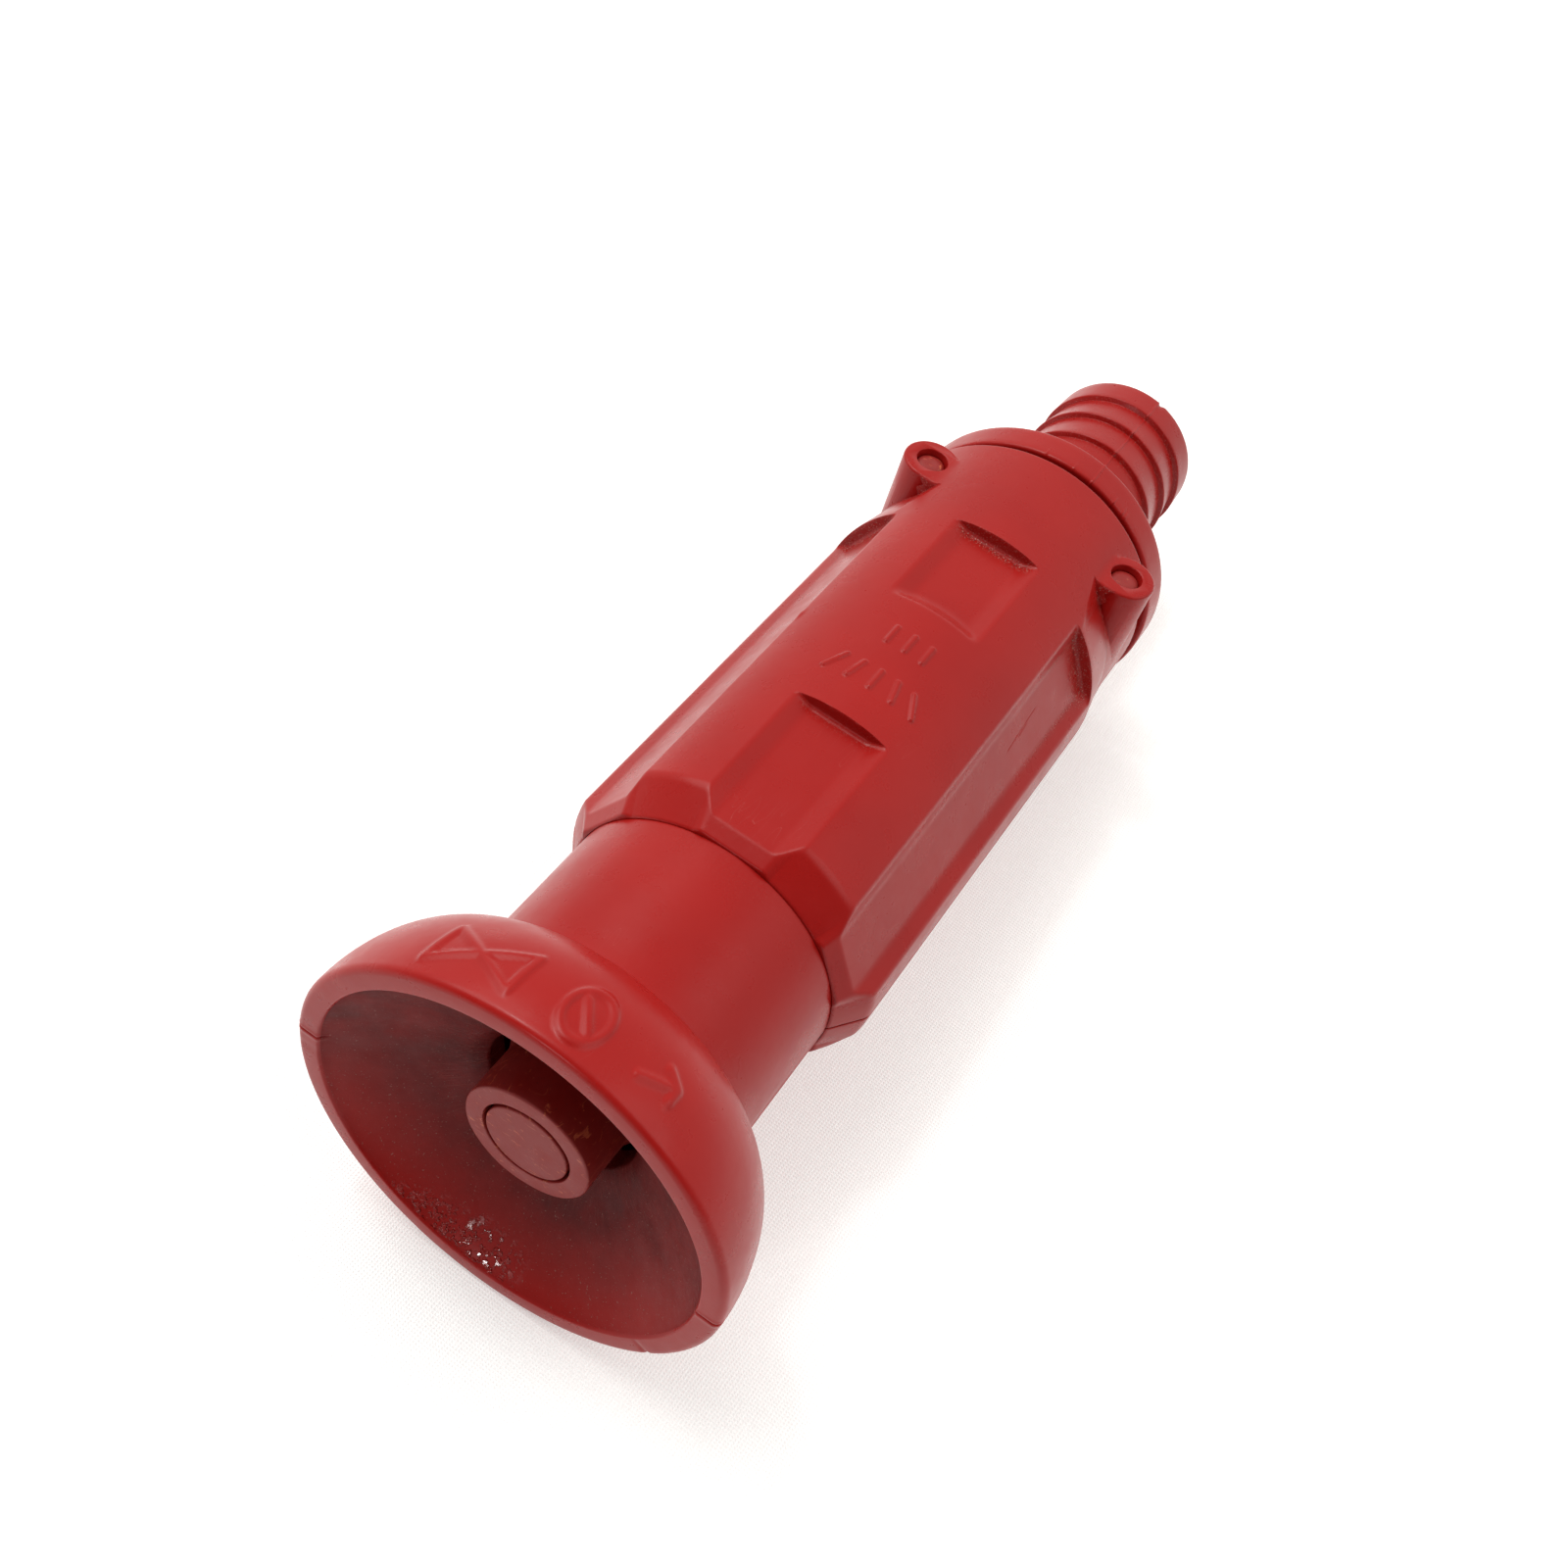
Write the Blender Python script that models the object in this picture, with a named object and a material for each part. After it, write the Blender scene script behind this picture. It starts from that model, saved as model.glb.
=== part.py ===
# A hand-held twist nozzle for a fire hose reel, lying on its side along X.
# The bell points to +X and the hose tail to -X. The parting plane of the grip is level.
# Lengths along the nozzle are given as distances behind the rim of the bell.
import math

import bmesh
import bpy
from mathutils import Vector

MM = 0.001
GAP = 0.3 * MM

OVERALL_LENGTH = 182.3 * MM
RIM_RADIUS = 31.0 * MM
BELL_STEPS = 60
AXIS_HEIGHT = RIM_RADIUS * math.cos(math.pi / BELL_STEPS)

# Bell sleeve: an open cup, a throat, and a long neck that slides in the grip.
RIM_EDGE = 0.6 * MM
CUP_RADIUS = 27.8 * MM
CUP_DEPTH = 11.3 * MM
CUP_POWER = 1.3
THROAT_RADIUS = 11.0 * MM
THROAT_END = 15.0 * MM
SHOULDER_LENGTH = 18.4 * MM
SHOULDER_FILLET = 1.2 * MM
NECK_RADIUS = 20.2 * MM
NECK_END = 57.0 * MM
SLEEVE_RADIUS = 17.6 * MM
SLEEVE_BORE = 14.3 * MM
SLEEVE_END = 71.6 * MM
CHAMBER_RADIUS = 16.5 * MM
CHAMBER_END = 28.0 * MM
RING_GROOVE = (63.0 * MM, 68.6 * MM)
RING_GROOVE_RADIUS = 16.0 * MM

# Twist: the bell turns on a coarse helix from shut, through spray, to jet.
LEAD = 20.0 * MM
TWIST_TO_SHUT = math.radians(-90)
TWIST_TO_JET = math.radians(162)
CAM_PIN_RADIUS = 1.5 * MM
CAM_PIN_ANGLES = (math.radians(45), math.radians(225))
CAM_SLOT_DEPTH = 2.1 * MM

# Plug: the fixed stopper in the throat, on a stem held by three webs.
PLUG_FACE = 4.6 * MM
PLUG_RADIUS = 9.1 * MM
PLUG_NECK = 13.2 * MM
PLUG_SEAT_RADIUS = 10.6 * MM
PLUG_SEAT = 15.9 * MM
PLUG_END = 21.2 * MM
CAP_RADIUS = 5.9 * MM
CAP_THICKNESS = 3.0 * MM
CAP_SHANK_RADIUS = 2.0 * MM
CAP_SHANK_END = 18.4 * MM
STEM_RADIUS = 3.6 * MM
STEM_FRONT = 10.8 * MM
STEM_HOLLOW_END = 19.0 * MM
STEM_BACK = (36.0 * MM, 38.0 * MM)
STEM_TIP_RADIUS = 1.2 * MM
WEB_COUNT = 3
WEB_THICKNESS = 2.4 * MM
WEB_STRETCH = (29.4 * MM, 35.4 * MM)
SPIDER_FLANGE = (28.6 * MM, 30.7 * MM)
SPIDER_FLANGE_RADIUS = 13.4 * MM
SPIDER_RING_RADIUS = 11.2 * MM
SPIDER_RING_END = 37.0 * MM

# Water tube: carries the spider in front and takes the swivelling tail behind.
TUBE_FRONT = 31.0 * MM
TUBE_END = 116.8 * MM
TUBE_RADIUS = 14.0 * MM
TUBE_BORE = 9.0 * MM
TUBE_MOUTH_RADIUS = SPIDER_RING_RADIUS + GAP
TUBE_MOUTH_END = SPIDER_RING_END + GAP
TUBE_FLANGE = (98.0 * MM, 102.0 * MM)
TUBE_FLANGE_RADIUS = 19.0 * MM
SOCKET_RADIUS = 15.5 * MM

# Grip: two half shells with six flutes, closed by two rivets in bosses.
GRIP_RADIUS = 23.9 * MM
GRIP_MOUTH = 42.2 * MM
GRIP_FRONT = 47.2 * MM
GRIP_END = 137.6 * MM
GRIP_STEPS = 72
TUBE_STEPS = 36
MOUTH_END = 62.6 * MM
CAVITY_RADIUS = 19.9 * MM
GUIDE_SLOT = (53.7 * MM, 73.9 * MM)
GUIDE_LUG_HALF = 1.7 * MM
GUIDE_LUG_REACH = 21.9 * MM
FLUTE_COUNT = 6
FLUTE_FLOOR = 21.7 * MM
FLUTE_FLOOR_HALF = 4.6 * MM
FLUTE_EDGE_HALF = 7.2 * MM
FLUTE_EDGE_HEIGHT = 22.8 * MM
FLUTE_END = 115.4 * MM
FRONT_FLUTE_END = 68.7 * MM
REAR_RECESS = (94.4 * MM, 97.3 * MM)
REAR_BLOCK = 121.8 * MM
BOSS_PLACE = 129.1 * MM
BOSS_SIDE = 17.7 * MM
BOSS_RADIUS = 4.6 * MM
BOSS_HEIGHT = 18.9 * MM
POCKET_START = 115.5 * MM
POCKET_WALL = 124.4 * MM
POCKET_FLOOR = 22.45 * MM
POCKET_EDGE = (45.5, 35.8)
POCKET_REACH = 90.5
POCKET_REAR_EDGE = 50.0
RIVET_RADIUS = 2.0 * MM
RIVET_HALF_LENGTH = 17.2 * MM

# Hose tail: a barbed spigot with a round flange that turns in the rear of the grip.
TAIL_SPIGOT = 103.5 * MM
TAIL_SPIGOT_RADIUS = 11.0 * MM
TAIL_COLLAR = (116.5 * MM, 119.9 * MM)
TAIL_COLLAR_RADIUS = 17.5 * MM
TAIL_NECK_RADIUS = 12.5 * MM
TAIL_FLANGE = (139.8 * MM, 145.7 * MM)
TAIL_FLANGE_RADIUS = 23.06 * MM
TAIL_STEPS = 40
TAIL_BORE = 9.5 * MM
SPIGOT_BORE = 8.0 * MM
BORE_STEP = (120.0 * MM, 125.0 * MM)
BARB_STARTS = (162.4 * MM, 169.6 * MM, 176.2 * MM)
BARB_RADIUS = 13.58 * MM
BARB_ROOT = 12.7 * MM

# Seals: each groove as (front, back), its floor, and the radius of the O-ring's cord.
PLUG_SEAL_GROOVE = (17.3 * MM, 19.7 * MM)
PLUG_SEAL_FLOOR = 8.6 * MM
PLUG_SEAL_CORD = 0.8 * MM
SLEEVE_SEAL_GROOVE = (34.0 * MM, 36.4 * MM)
SLEEVE_SEAL_FLOOR = 11.9 * MM
SLEEVE_SEAL_CORD = 0.85 * MM
TAIL_SEAL_GROOVE = (108.0 * MM, 110.4 * MM)
TAIL_SEAL_FLOOR = 9.1 * MM
TAIL_SEAL_CORD = 0.75 * MM
SEAL_CLEARANCE = 0.35 * MM

RED_PLASTIC = (0.42, 0.035, 0.03, 1.0)
BLACK_RUBBER = (0.02, 0.02, 0.022, 1.0)
WHITE_ACETAL = (0.75, 0.74, 0.70, 1.0)
BRIGHT_STEEL = (0.62, 0.62, 0.60, 1.0)


def clear_scene():
    for item in list(bpy.data.objects):
        bpy.data.objects.remove(item, do_unlink=True)


def make_material(name, colour, roughness, metallic=0.0):
    material = bpy.data.materials.new(name)
    material.use_nodes = True
    shader = material.node_tree.nodes["Principled BSDF"]
    shader.inputs["Base Color"].default_value = colour
    shader.inputs["Roughness"].default_value = roughness
    shader.inputs["Metallic"].default_value = metallic
    material.diffuse_color = colour
    return material


def along(behind):
    return OVERALL_LENGTH / 2 - behind


def around(behind, radius, angle):
    # Angle 0 is the top, and it grows as a right-hand turn about +X.
    return Vector((along(behind), -radius * math.sin(angle), radius * math.cos(angle)))


def make_empty(name, parent=None):
    empty = bpy.data.objects.new(name, None)
    bpy.context.scene.collection.objects.link(empty)
    if parent is None:
        empty.location = (0.0, 0.0, AXIS_HEIGHT)
    else:
        empty.parent = parent
    return empty


def add_piece(name, shape, material=None, parent=None):
    # Every piece has its origin on the nozzle's axis, which is also each joint's axis.
    bmesh.ops.recalc_face_normals(shape, faces=shape.faces)
    mesh = bpy.data.meshes.new(name)
    shape.to_mesh(mesh)
    shape.free()
    piece = bpy.data.objects.new(name, mesh)
    bpy.context.scene.collection.objects.link(piece)
    if material is not None:
        mesh.materials.append(material)
        mesh.shade_smooth()
        mesh.set_sharp_from_angle(angle=math.radians(28))
    if parent is None:
        piece.location = (0.0, 0.0, AXIS_HEIGHT)
    else:
        piece.parent = parent
    return piece


def add_cutter(name, shape):
    cutter = add_piece(name, shape)
    cutter.hide_render = True
    cutter.display_type = "WIRE"
    return cutter


def use_boolean(piece, cutter, operation):
    modifier = piece.modifiers.new(operation.title() + " " + cutter.name, "BOOLEAN")
    modifier.operation = operation
    modifier.object = cutter
    modifier.solver = "EXACT"


def revolve(outline, steps):
    # A closed outline of (distance behind the rim, radius) points, turned about the axis.
    # The turn starts half a step off the top, so a flat lies exactly underneath.
    shape = bmesh.new()
    rings = []
    for step in range(steps):
        angle = (step + 0.5) * math.tau / steps
        rings.append([shape.verts.new(around(behind, radius, angle)) for behind, radius in outline])
    for step in range(steps):
        ring = rings[step]
        following = rings[(step + 1) % steps]
        for point in range(len(outline)):
            ahead = (point + 1) % len(outline)
            shape.faces.new((ring[point], ring[ahead], following[ahead], following[point]))
    return shape


def revolve_solid(outline, steps):
    # Like revolve, for an open outline that starts and ends on the axis.
    shape = bmesh.new()
    first = shape.verts.new(around(outline[0][0], 0.0, 0.0))
    last = shape.verts.new(around(outline[-1][0], 0.0, 0.0))
    rings = []
    for step in range(steps):
        angle = (step + 0.5) * math.tau / steps
        rings.append([shape.verts.new(around(behind, radius, angle)) for behind, radius in outline[1:-1]])
    for step in range(steps):
        ring = rings[step]
        following = rings[(step + 1) % steps]
        shape.faces.new((first, ring[0], following[0]))
        shape.faces.new((last, following[-1], ring[-1]))
        for point in range(len(ring) - 1):
            shape.faces.new((ring[point], ring[point + 1], following[point + 1], following[point]))
    return shape


def loft(sections):
    # Joins equal closed sections into one solid with flat ends.
    shape = bmesh.new()
    rings = [[shape.verts.new(point) for point in section] for section in sections]
    count = len(rings[0])
    for ring, following in zip(rings, rings[1:]):
        for point in range(count):
            ahead = (point + 1) % count
            shape.faces.new((ring[point], ring[ahead], following[ahead], following[point]))
    shape.faces.new(rings[0])
    shape.faces.new(list(reversed(rings[-1])))
    return shape


def radial_bar(behind, angle, inner, outer, radius, sides=16):
    # A round bar that points away from the axis.
    across = around(0.0, 1.0, angle) - around(0.0, 0.0, angle)
    sideways = across.cross(Vector((1.0, 0.0, 0.0)))
    sections = []
    for reach in (inner, outer):
        middle = around(behind, reach, angle)
        section = []
        for side in range(sides):
            turn = side * math.tau / sides
            offset = Vector((math.cos(turn), 0.0, 0.0)) + sideways * math.sin(turn)
            section.append(middle + offset * radius)
        sections.append(section)
    return loft(sections)


def box(behind, side, height):
    # Each argument is a (low, high) pair.
    corners = []
    for x in behind:
        corners.append(
            [
                Vector((along(x), side[0], height[0])),
                Vector((along(x), side[1], height[0])),
                Vector((along(x), side[1], height[1])),
                Vector((along(x), side[0], height[1])),
            ]
        )
    return loft(corners)


def seal_ring(name, groove, floor, cord_radius, material, parent=None):
    behind = (groove[0] + groove[1]) / 2
    middle_radius = floor + SEAL_CLEARANCE + cord_radius
    outline = []
    for side in range(6):
        turn = (side + 0.5) * math.tau / 6
        outline.append((behind + cord_radius * math.cos(turn), middle_radius + cord_radius * math.sin(turn)))
    return add_piece(name, revolve(outline, 24), material, parent)


def shoulder_points(count):
    # The rounded back of the bell, from the rim to the neck.
    points = []
    foot = NECK_RADIUS + 0.3 * MM
    for step in range(count):
        share = math.sin(math.pi / 2 * step / count)
        height = (1.0 - share**2.15) ** (1 / 1.8)
        behind = 1.2 * MM + (SHOULDER_LENGTH - 1.2 * MM) * share
        points.append((behind, foot + (RIM_RADIUS - foot) * height))
    return points


def cup_points(count):
    # The bowl inside the bell, from the throat out to the rim.
    points = []
    for step in range(count, 0, -1):
        share = step / count
        radius = CUP_RADIUS - (CUP_RADIUS - THROAT_RADIUS) * share**CUP_POWER
        points.append((CUP_DEPTH * share, radius))
    return points


def make_bell_sleeve(material, parent):
    outline = [(0.0, CUP_RADIUS), (0.0, RIM_RADIUS - RIM_EDGE), (0.25 * RIM_EDGE, RIM_RADIUS - 0.25 * RIM_EDGE)]
    outline += shoulder_points(7)
    outline += [
        (SHOULDER_LENGTH, NECK_RADIUS + SHOULDER_FILLET),
        (SHOULDER_LENGTH + 0.3 * SHOULDER_FILLET, NECK_RADIUS + 0.3 * SHOULDER_FILLET),
        (SHOULDER_LENGTH + SHOULDER_FILLET, NECK_RADIUS),
        (NECK_END, NECK_RADIUS),
        (NECK_END + 1.0 * MM, SLEEVE_RADIUS),
        (RING_GROOVE[0], SLEEVE_RADIUS),
        (RING_GROOVE[0], RING_GROOVE_RADIUS),
        (RING_GROOVE[1], RING_GROOVE_RADIUS),
        (RING_GROOVE[1], SLEEVE_RADIUS),
        (SLEEVE_END, SLEEVE_RADIUS),
        (SLEEVE_END, SLEEVE_BORE),
        (CHAMBER_END, SLEEVE_BORE),
        (CHAMBER_END - 2.0 * MM, CHAMBER_RADIUS),
        (THROAT_END + 4.0 * MM, CHAMBER_RADIUS),
        (THROAT_END, THROAT_RADIUS),
    ]
    outline += cup_points(6)
    sleeve = add_piece("bell_sleeve", revolve(outline, BELL_STEPS), material, parent)
    for number, angle in enumerate(CAM_PIN_ANGLES):
        hole = radial_bar(pin_place(), angle, 13.0 * MM, 19.0 * MM, CAM_PIN_RADIUS + GAP)
        cutter = add_cutter(f"cam_pin_hole_{number + 1}", hole)
        use_boolean(sleeve, cutter, "DIFFERENCE")
    return sleeve


def pin_place():
    return (RING_GROOVE[0] + RING_GROOVE[1]) / 2


def make_cam_pins(material, parent):
    root = TUBE_RADIUS - CAM_SLOT_DEPTH + GAP
    for number, angle in enumerate(CAM_PIN_ANGLES):
        shape = radial_bar(pin_place(), angle, root, RING_GROOVE_RADIUS - 0.1 * MM, CAM_PIN_RADIUS)
        add_piece(f"cam_pin_{number + 1}", shape, material, parent)


def make_guide_ring(material, parent):
    # Two half rings in the groove of the sleeve. Their lugs run in straight slots in the grip.
    front = RING_GROOVE[0] + GAP
    back = RING_GROOVE[1] - GAP
    inner = RING_GROOVE_RADIUS + GAP
    outer = CAVITY_RADIUS - 0.4 * MM
    outline = [(front, inner), (front, outer), (back, outer), (back, inner)]
    for name, sign in (("guide_ring_left", 1), ("guide_ring_right", -1)):
        ring = add_piece(name, revolve(outline, TUBE_STEPS), material, parent)
        lug_sides = sorted((sign * (outer - 1.0 * MM), sign * GUIDE_LUG_REACH))
        lug_heights = (-GUIDE_LUG_HALF, GUIDE_LUG_HALF)
        lug = add_cutter(name + "_lug", box((front, back), lug_sides, lug_heights))
        use_boolean(ring, lug, "UNION")
        far_side = sorted((sign * GAP / 2, -sign * 30.0 * MM))
        half = box((front - 1.0 * MM, back + 1.0 * MM), far_side, (-30.0 * MM, 30.0 * MM))
        use_boolean(ring, add_cutter(name + "_split", half), "DIFFERENCE")


def cam_slot(start_angle):
    # The path of one cam pin over the water tube, with a little to spare at both ends.
    spare = math.radians(9)
    pitch = LEAD / math.tau
    half_width = CAM_PIN_RADIUS + GAP
    floor = TUBE_RADIUS - CAM_SLOT_DEPTH
    top = TUBE_RADIUS + 1.0 * MM
    slope = math.atan2(pitch, TUBE_RADIUS)
    first = TWIST_TO_SHUT - spare
    last = TWIST_TO_JET + spare
    count = 36
    sections = []
    for step in range(count + 1):
        twist = first + (last - first) * step / count
        behind = pin_place() - pitch * twist
        angle = start_angle + twist
        section = []
        for side, radius in ((-1, floor), (1, floor), (1, top), (-1, top)):
            shift = side * half_width * math.cos(slope)
            turn = side * half_width * math.sin(slope) / TUBE_RADIUS
            section.append(around(behind - shift, radius, angle - turn))
        sections.append(section)
    return loft(sections)


def make_water_tube(material):
    outline = [
        (TUBE_FRONT, TUBE_MOUTH_RADIUS),
        (TUBE_FRONT, TUBE_RADIUS - 0.4 * MM),
        (TUBE_FRONT + 0.4 * MM, TUBE_RADIUS),
        (SLEEVE_SEAL_GROOVE[0], TUBE_RADIUS),
        (SLEEVE_SEAL_GROOVE[0], SLEEVE_SEAL_FLOOR),
        (SLEEVE_SEAL_GROOVE[1], SLEEVE_SEAL_FLOOR),
        (SLEEVE_SEAL_GROOVE[1], TUBE_RADIUS),
        (TUBE_FLANGE[0], TUBE_RADIUS),
        (TUBE_FLANGE[0], TUBE_FLANGE_RADIUS),
        (TUBE_FLANGE[1], TUBE_FLANGE_RADIUS),
        (TUBE_FLANGE[1], SOCKET_RADIUS),
        (TUBE_END - 0.6 * MM, SOCKET_RADIUS),
        (TUBE_END - 0.6 * MM, TAIL_SPIGOT_RADIUS + GAP),
        (TAIL_SPIGOT - 1.5 * MM, TAIL_SPIGOT_RADIUS + GAP),
        (TAIL_SPIGOT - 1.5 * MM, TUBE_BORE),
        (TUBE_MOUTH_END, TUBE_BORE),
        (TUBE_MOUTH_END, TUBE_MOUTH_RADIUS),
    ]
    tube = add_piece("water_tube", revolve(outline, TUBE_STEPS), material)
    for number, angle in enumerate(CAM_PIN_ANGLES):
        use_boolean(tube, add_cutter(f"cam_slot_{number + 1}", cam_slot(angle)), "DIFFERENCE")
    return tube


def make_spider(material):
    # A flanged ring screwed into the tube, three webs, and the stem that carries the plug.
    ring_outline = [
        (SPIDER_FLANGE[0], TUBE_BORE),
        (SPIDER_FLANGE[0], SPIDER_FLANGE_RADIUS),
        (SPIDER_FLANGE[1], SPIDER_FLANGE_RADIUS),
        (SPIDER_FLANGE[1], SPIDER_RING_RADIUS),
        (SPIDER_RING_END, SPIDER_RING_RADIUS),
        (SPIDER_RING_END, TUBE_BORE),
    ]
    spider = add_piece("stem_spider", revolve(ring_outline, TUBE_STEPS), material)
    bore = CAP_SHANK_RADIUS + GAP
    stem_outline = [
        (STEM_HOLLOW_END, 0.0),
        (STEM_HOLLOW_END, bore),
        (STEM_FRONT, bore),
        (STEM_FRONT, STEM_RADIUS),
        (STEM_BACK[0], STEM_RADIUS),
        (STEM_BACK[1], STEM_TIP_RADIUS),
        (STEM_BACK[1], 0.0),
    ]
    stem = add_cutter("stem_rod", revolve_solid(stem_outline, 24))
    use_boolean(spider, stem, "UNION")
    for number in range(WEB_COUNT):
        angle = number * math.tau / WEB_COUNT
        sideways = around(0.0, 1.0, angle + math.pi / 2) - around(0.0, 0.0, 0.0)
        sections = []
        for behind in WEB_STRETCH:
            inner = around(behind, STEM_RADIUS - 1.2 * MM, angle)
            outer = around(behind, TUBE_BORE + 1.0 * MM, angle)
            half = sideways * WEB_THICKNESS / 2
            sections.append([inner - half, inner + half, outer + half, outer - half])
        use_boolean(spider, add_cutter(f"stem_web_{number + 1}", loft(sections)), "UNION")
    return spider


def make_plug(material, cap_material):
    recess_end = PLUG_FACE + 0.2 * MM + CAP_THICKNESS + GAP
    outline = [
        (PLUG_FACE, CAP_RADIUS + 0.6 * MM),
        (PLUG_FACE, PLUG_RADIUS - 0.3 * MM),
        (PLUG_FACE + 0.3 * MM, PLUG_RADIUS),
        (PLUG_NECK, PLUG_RADIUS),
        (PLUG_SEAT, PLUG_SEAT_RADIUS),
        (PLUG_SEAL_GROOVE[0], PLUG_SEAT_RADIUS),
        (PLUG_SEAL_GROOVE[0], PLUG_SEAL_FLOOR),
        (PLUG_SEAL_GROOVE[1], PLUG_SEAL_FLOOR),
        (PLUG_SEAL_GROOVE[1], PLUG_SEAT_RADIUS),
        (PLUG_END, PLUG_SEAT_RADIUS),
        (PLUG_END, STEM_RADIUS + GAP),
        (STEM_FRONT - GAP, STEM_RADIUS + GAP),
        (STEM_FRONT - GAP, CAP_SHANK_RADIUS + GAP),
        (recess_end, CAP_SHANK_RADIUS + GAP),
        (recess_end, CAP_RADIUS + 0.6 * MM),
    ]
    add_piece("plug", revolve(outline, TUBE_STEPS), material)
    head_end = recess_end - GAP
    cap_outline = [
        (PLUG_FACE + 0.2 * MM, 0.0),
        (PLUG_FACE + 0.2 * MM, CAP_RADIUS - 0.2 * MM),
        (PLUG_FACE + 0.4 * MM, CAP_RADIUS),
        (head_end, CAP_RADIUS),
        (head_end, CAP_SHANK_RADIUS),
        (CAP_SHANK_END, CAP_SHANK_RADIUS),
        (CAP_SHANK_END, 0.0),
    ]
    add_piece("plug_cap_screw", revolve_solid(cap_outline, 32), cap_material)


def flute_section(behind, angle, floor):
    slope = (FLUTE_EDGE_HEIGHT - FLUTE_FLOOR) / (FLUTE_EDGE_HALF - FLUTE_FLOOR_HALF)
    top = 26.0 * MM
    top_half = FLUTE_FLOOR_HALF + (top - FLUTE_FLOOR) / slope
    floor_half = FLUTE_FLOOR_HALF + (floor - FLUTE_FLOOR) / slope
    outward = around(0.0, 1.0, angle) - around(0.0, 0.0, 0.0)
    sideways = around(0.0, 1.0, angle + math.pi / 2) - around(0.0, 0.0, 0.0)
    middle = around(behind, 0.0, angle)
    section = []
    for half, height in ((-floor_half, floor), (floor_half, floor), (top_half, top), (-top_half, top)):
        section.append(middle + outward * height + sideways * half)
    return section


def flute_cutters():
    # Long flutes on the sides. The top and bottom flutes are broken by a plain band.
    cutters = []
    mouth = GRIP_MOUTH - 6.0 * MM
    for number in range(FLUTE_COUNT):
        angle = number * math.tau / FLUTE_COUNT
        broken = number % (FLUTE_COUNT // 2) == 0
        end = FRONT_FLUTE_END if broken else FLUTE_END
        sections = [flute_section(mouth, angle, FLUTE_FLOOR), flute_section(end, angle, FLUTE_FLOOR)]
        cutters.append(add_cutter(f"flute_{number + 1}", loft(sections)))
        if broken:
            sections = [
                flute_section(REAR_RECESS[0], angle, GRIP_RADIUS + 0.1 * MM),
                flute_section(REAR_RECESS[1], angle, FLUTE_FLOOR),
                flute_section(FLUTE_END, angle, FLUTE_FLOOR),
            ]
            cutters.append(add_cutter(f"rear_recess_{number + 1}", loft(sections)))
    return cutters


def pocket_section(behind, edge, floor, flank, sign, flip):
    # Edge and flank are angles in degrees from the top, or from the bottom when flipped.
    lid = 27.0 * MM
    steps = 8
    corners = [(edge, lid), (edge, max(GRIP_RADIUS + 0.02 * MM, floor))]
    for step in range(steps + 1):
        corners.append((flank + (POCKET_REACH - flank) * step / steps, floor))
    corners += [(POCKET_REACH, lid), ((POCKET_REACH + edge) / 2, lid * 1.1)]
    section = []
    for angle, radius in corners:
        point = around(behind, radius, math.radians(angle) * sign)
        section.append(Vector((point.x, point.y, point.z * flip)))
    return section


def pocket_cutters():
    # A lowered patch in front of each boss, and its narrower run past the boss to the rear.
    cutters = []
    length = POCKET_WALL - POCKET_START
    for sign in (-1, 1):
        for flip in (-1, 1):
            name = f"pocket_{len(cutters) // 2 + 1}"
            sections = []
            for step in range(5):
                share = step / 4
                edge = POCKET_EDGE[0] + (POCKET_EDGE[1] - POCKET_EDGE[0]) * share
                floor = GRIP_RADIUS + 0.1 * MM + (POCKET_FLOOR - GRIP_RADIUS - 0.1 * MM) * share
                behind = POCKET_START + length * share
                flank = edge + 12.5 * share + 0.5
                sections.append(pocket_section(behind, edge, floor, flank, sign, flip))
            cutters.append(add_cutter(name, loft(sections)))
            sections = []
            for behind in (POCKET_WALL - 0.1 * MM, GRIP_END + 1.0 * MM):
                flank = POCKET_REAR_EDGE + 0.5
                sections.append(pocket_section(behind, POCKET_REAR_EDGE, POCKET_FLOOR, flank, sign, flip))
            cutters.append(add_cutter(name + "_rear", loft(sections)))
    return cutters


def upright_bar(side, radius, low, high, steps):
    sections = []
    for height in (low, high):
        section = []
        for step in range(steps):
            turn = step * math.tau / steps
            x = along(BOSS_PLACE) + radius * math.cos(turn)
            section.append(Vector((x, side + radius * math.sin(turn), height)))
        sections.append(section)
    return loft(sections)


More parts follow.
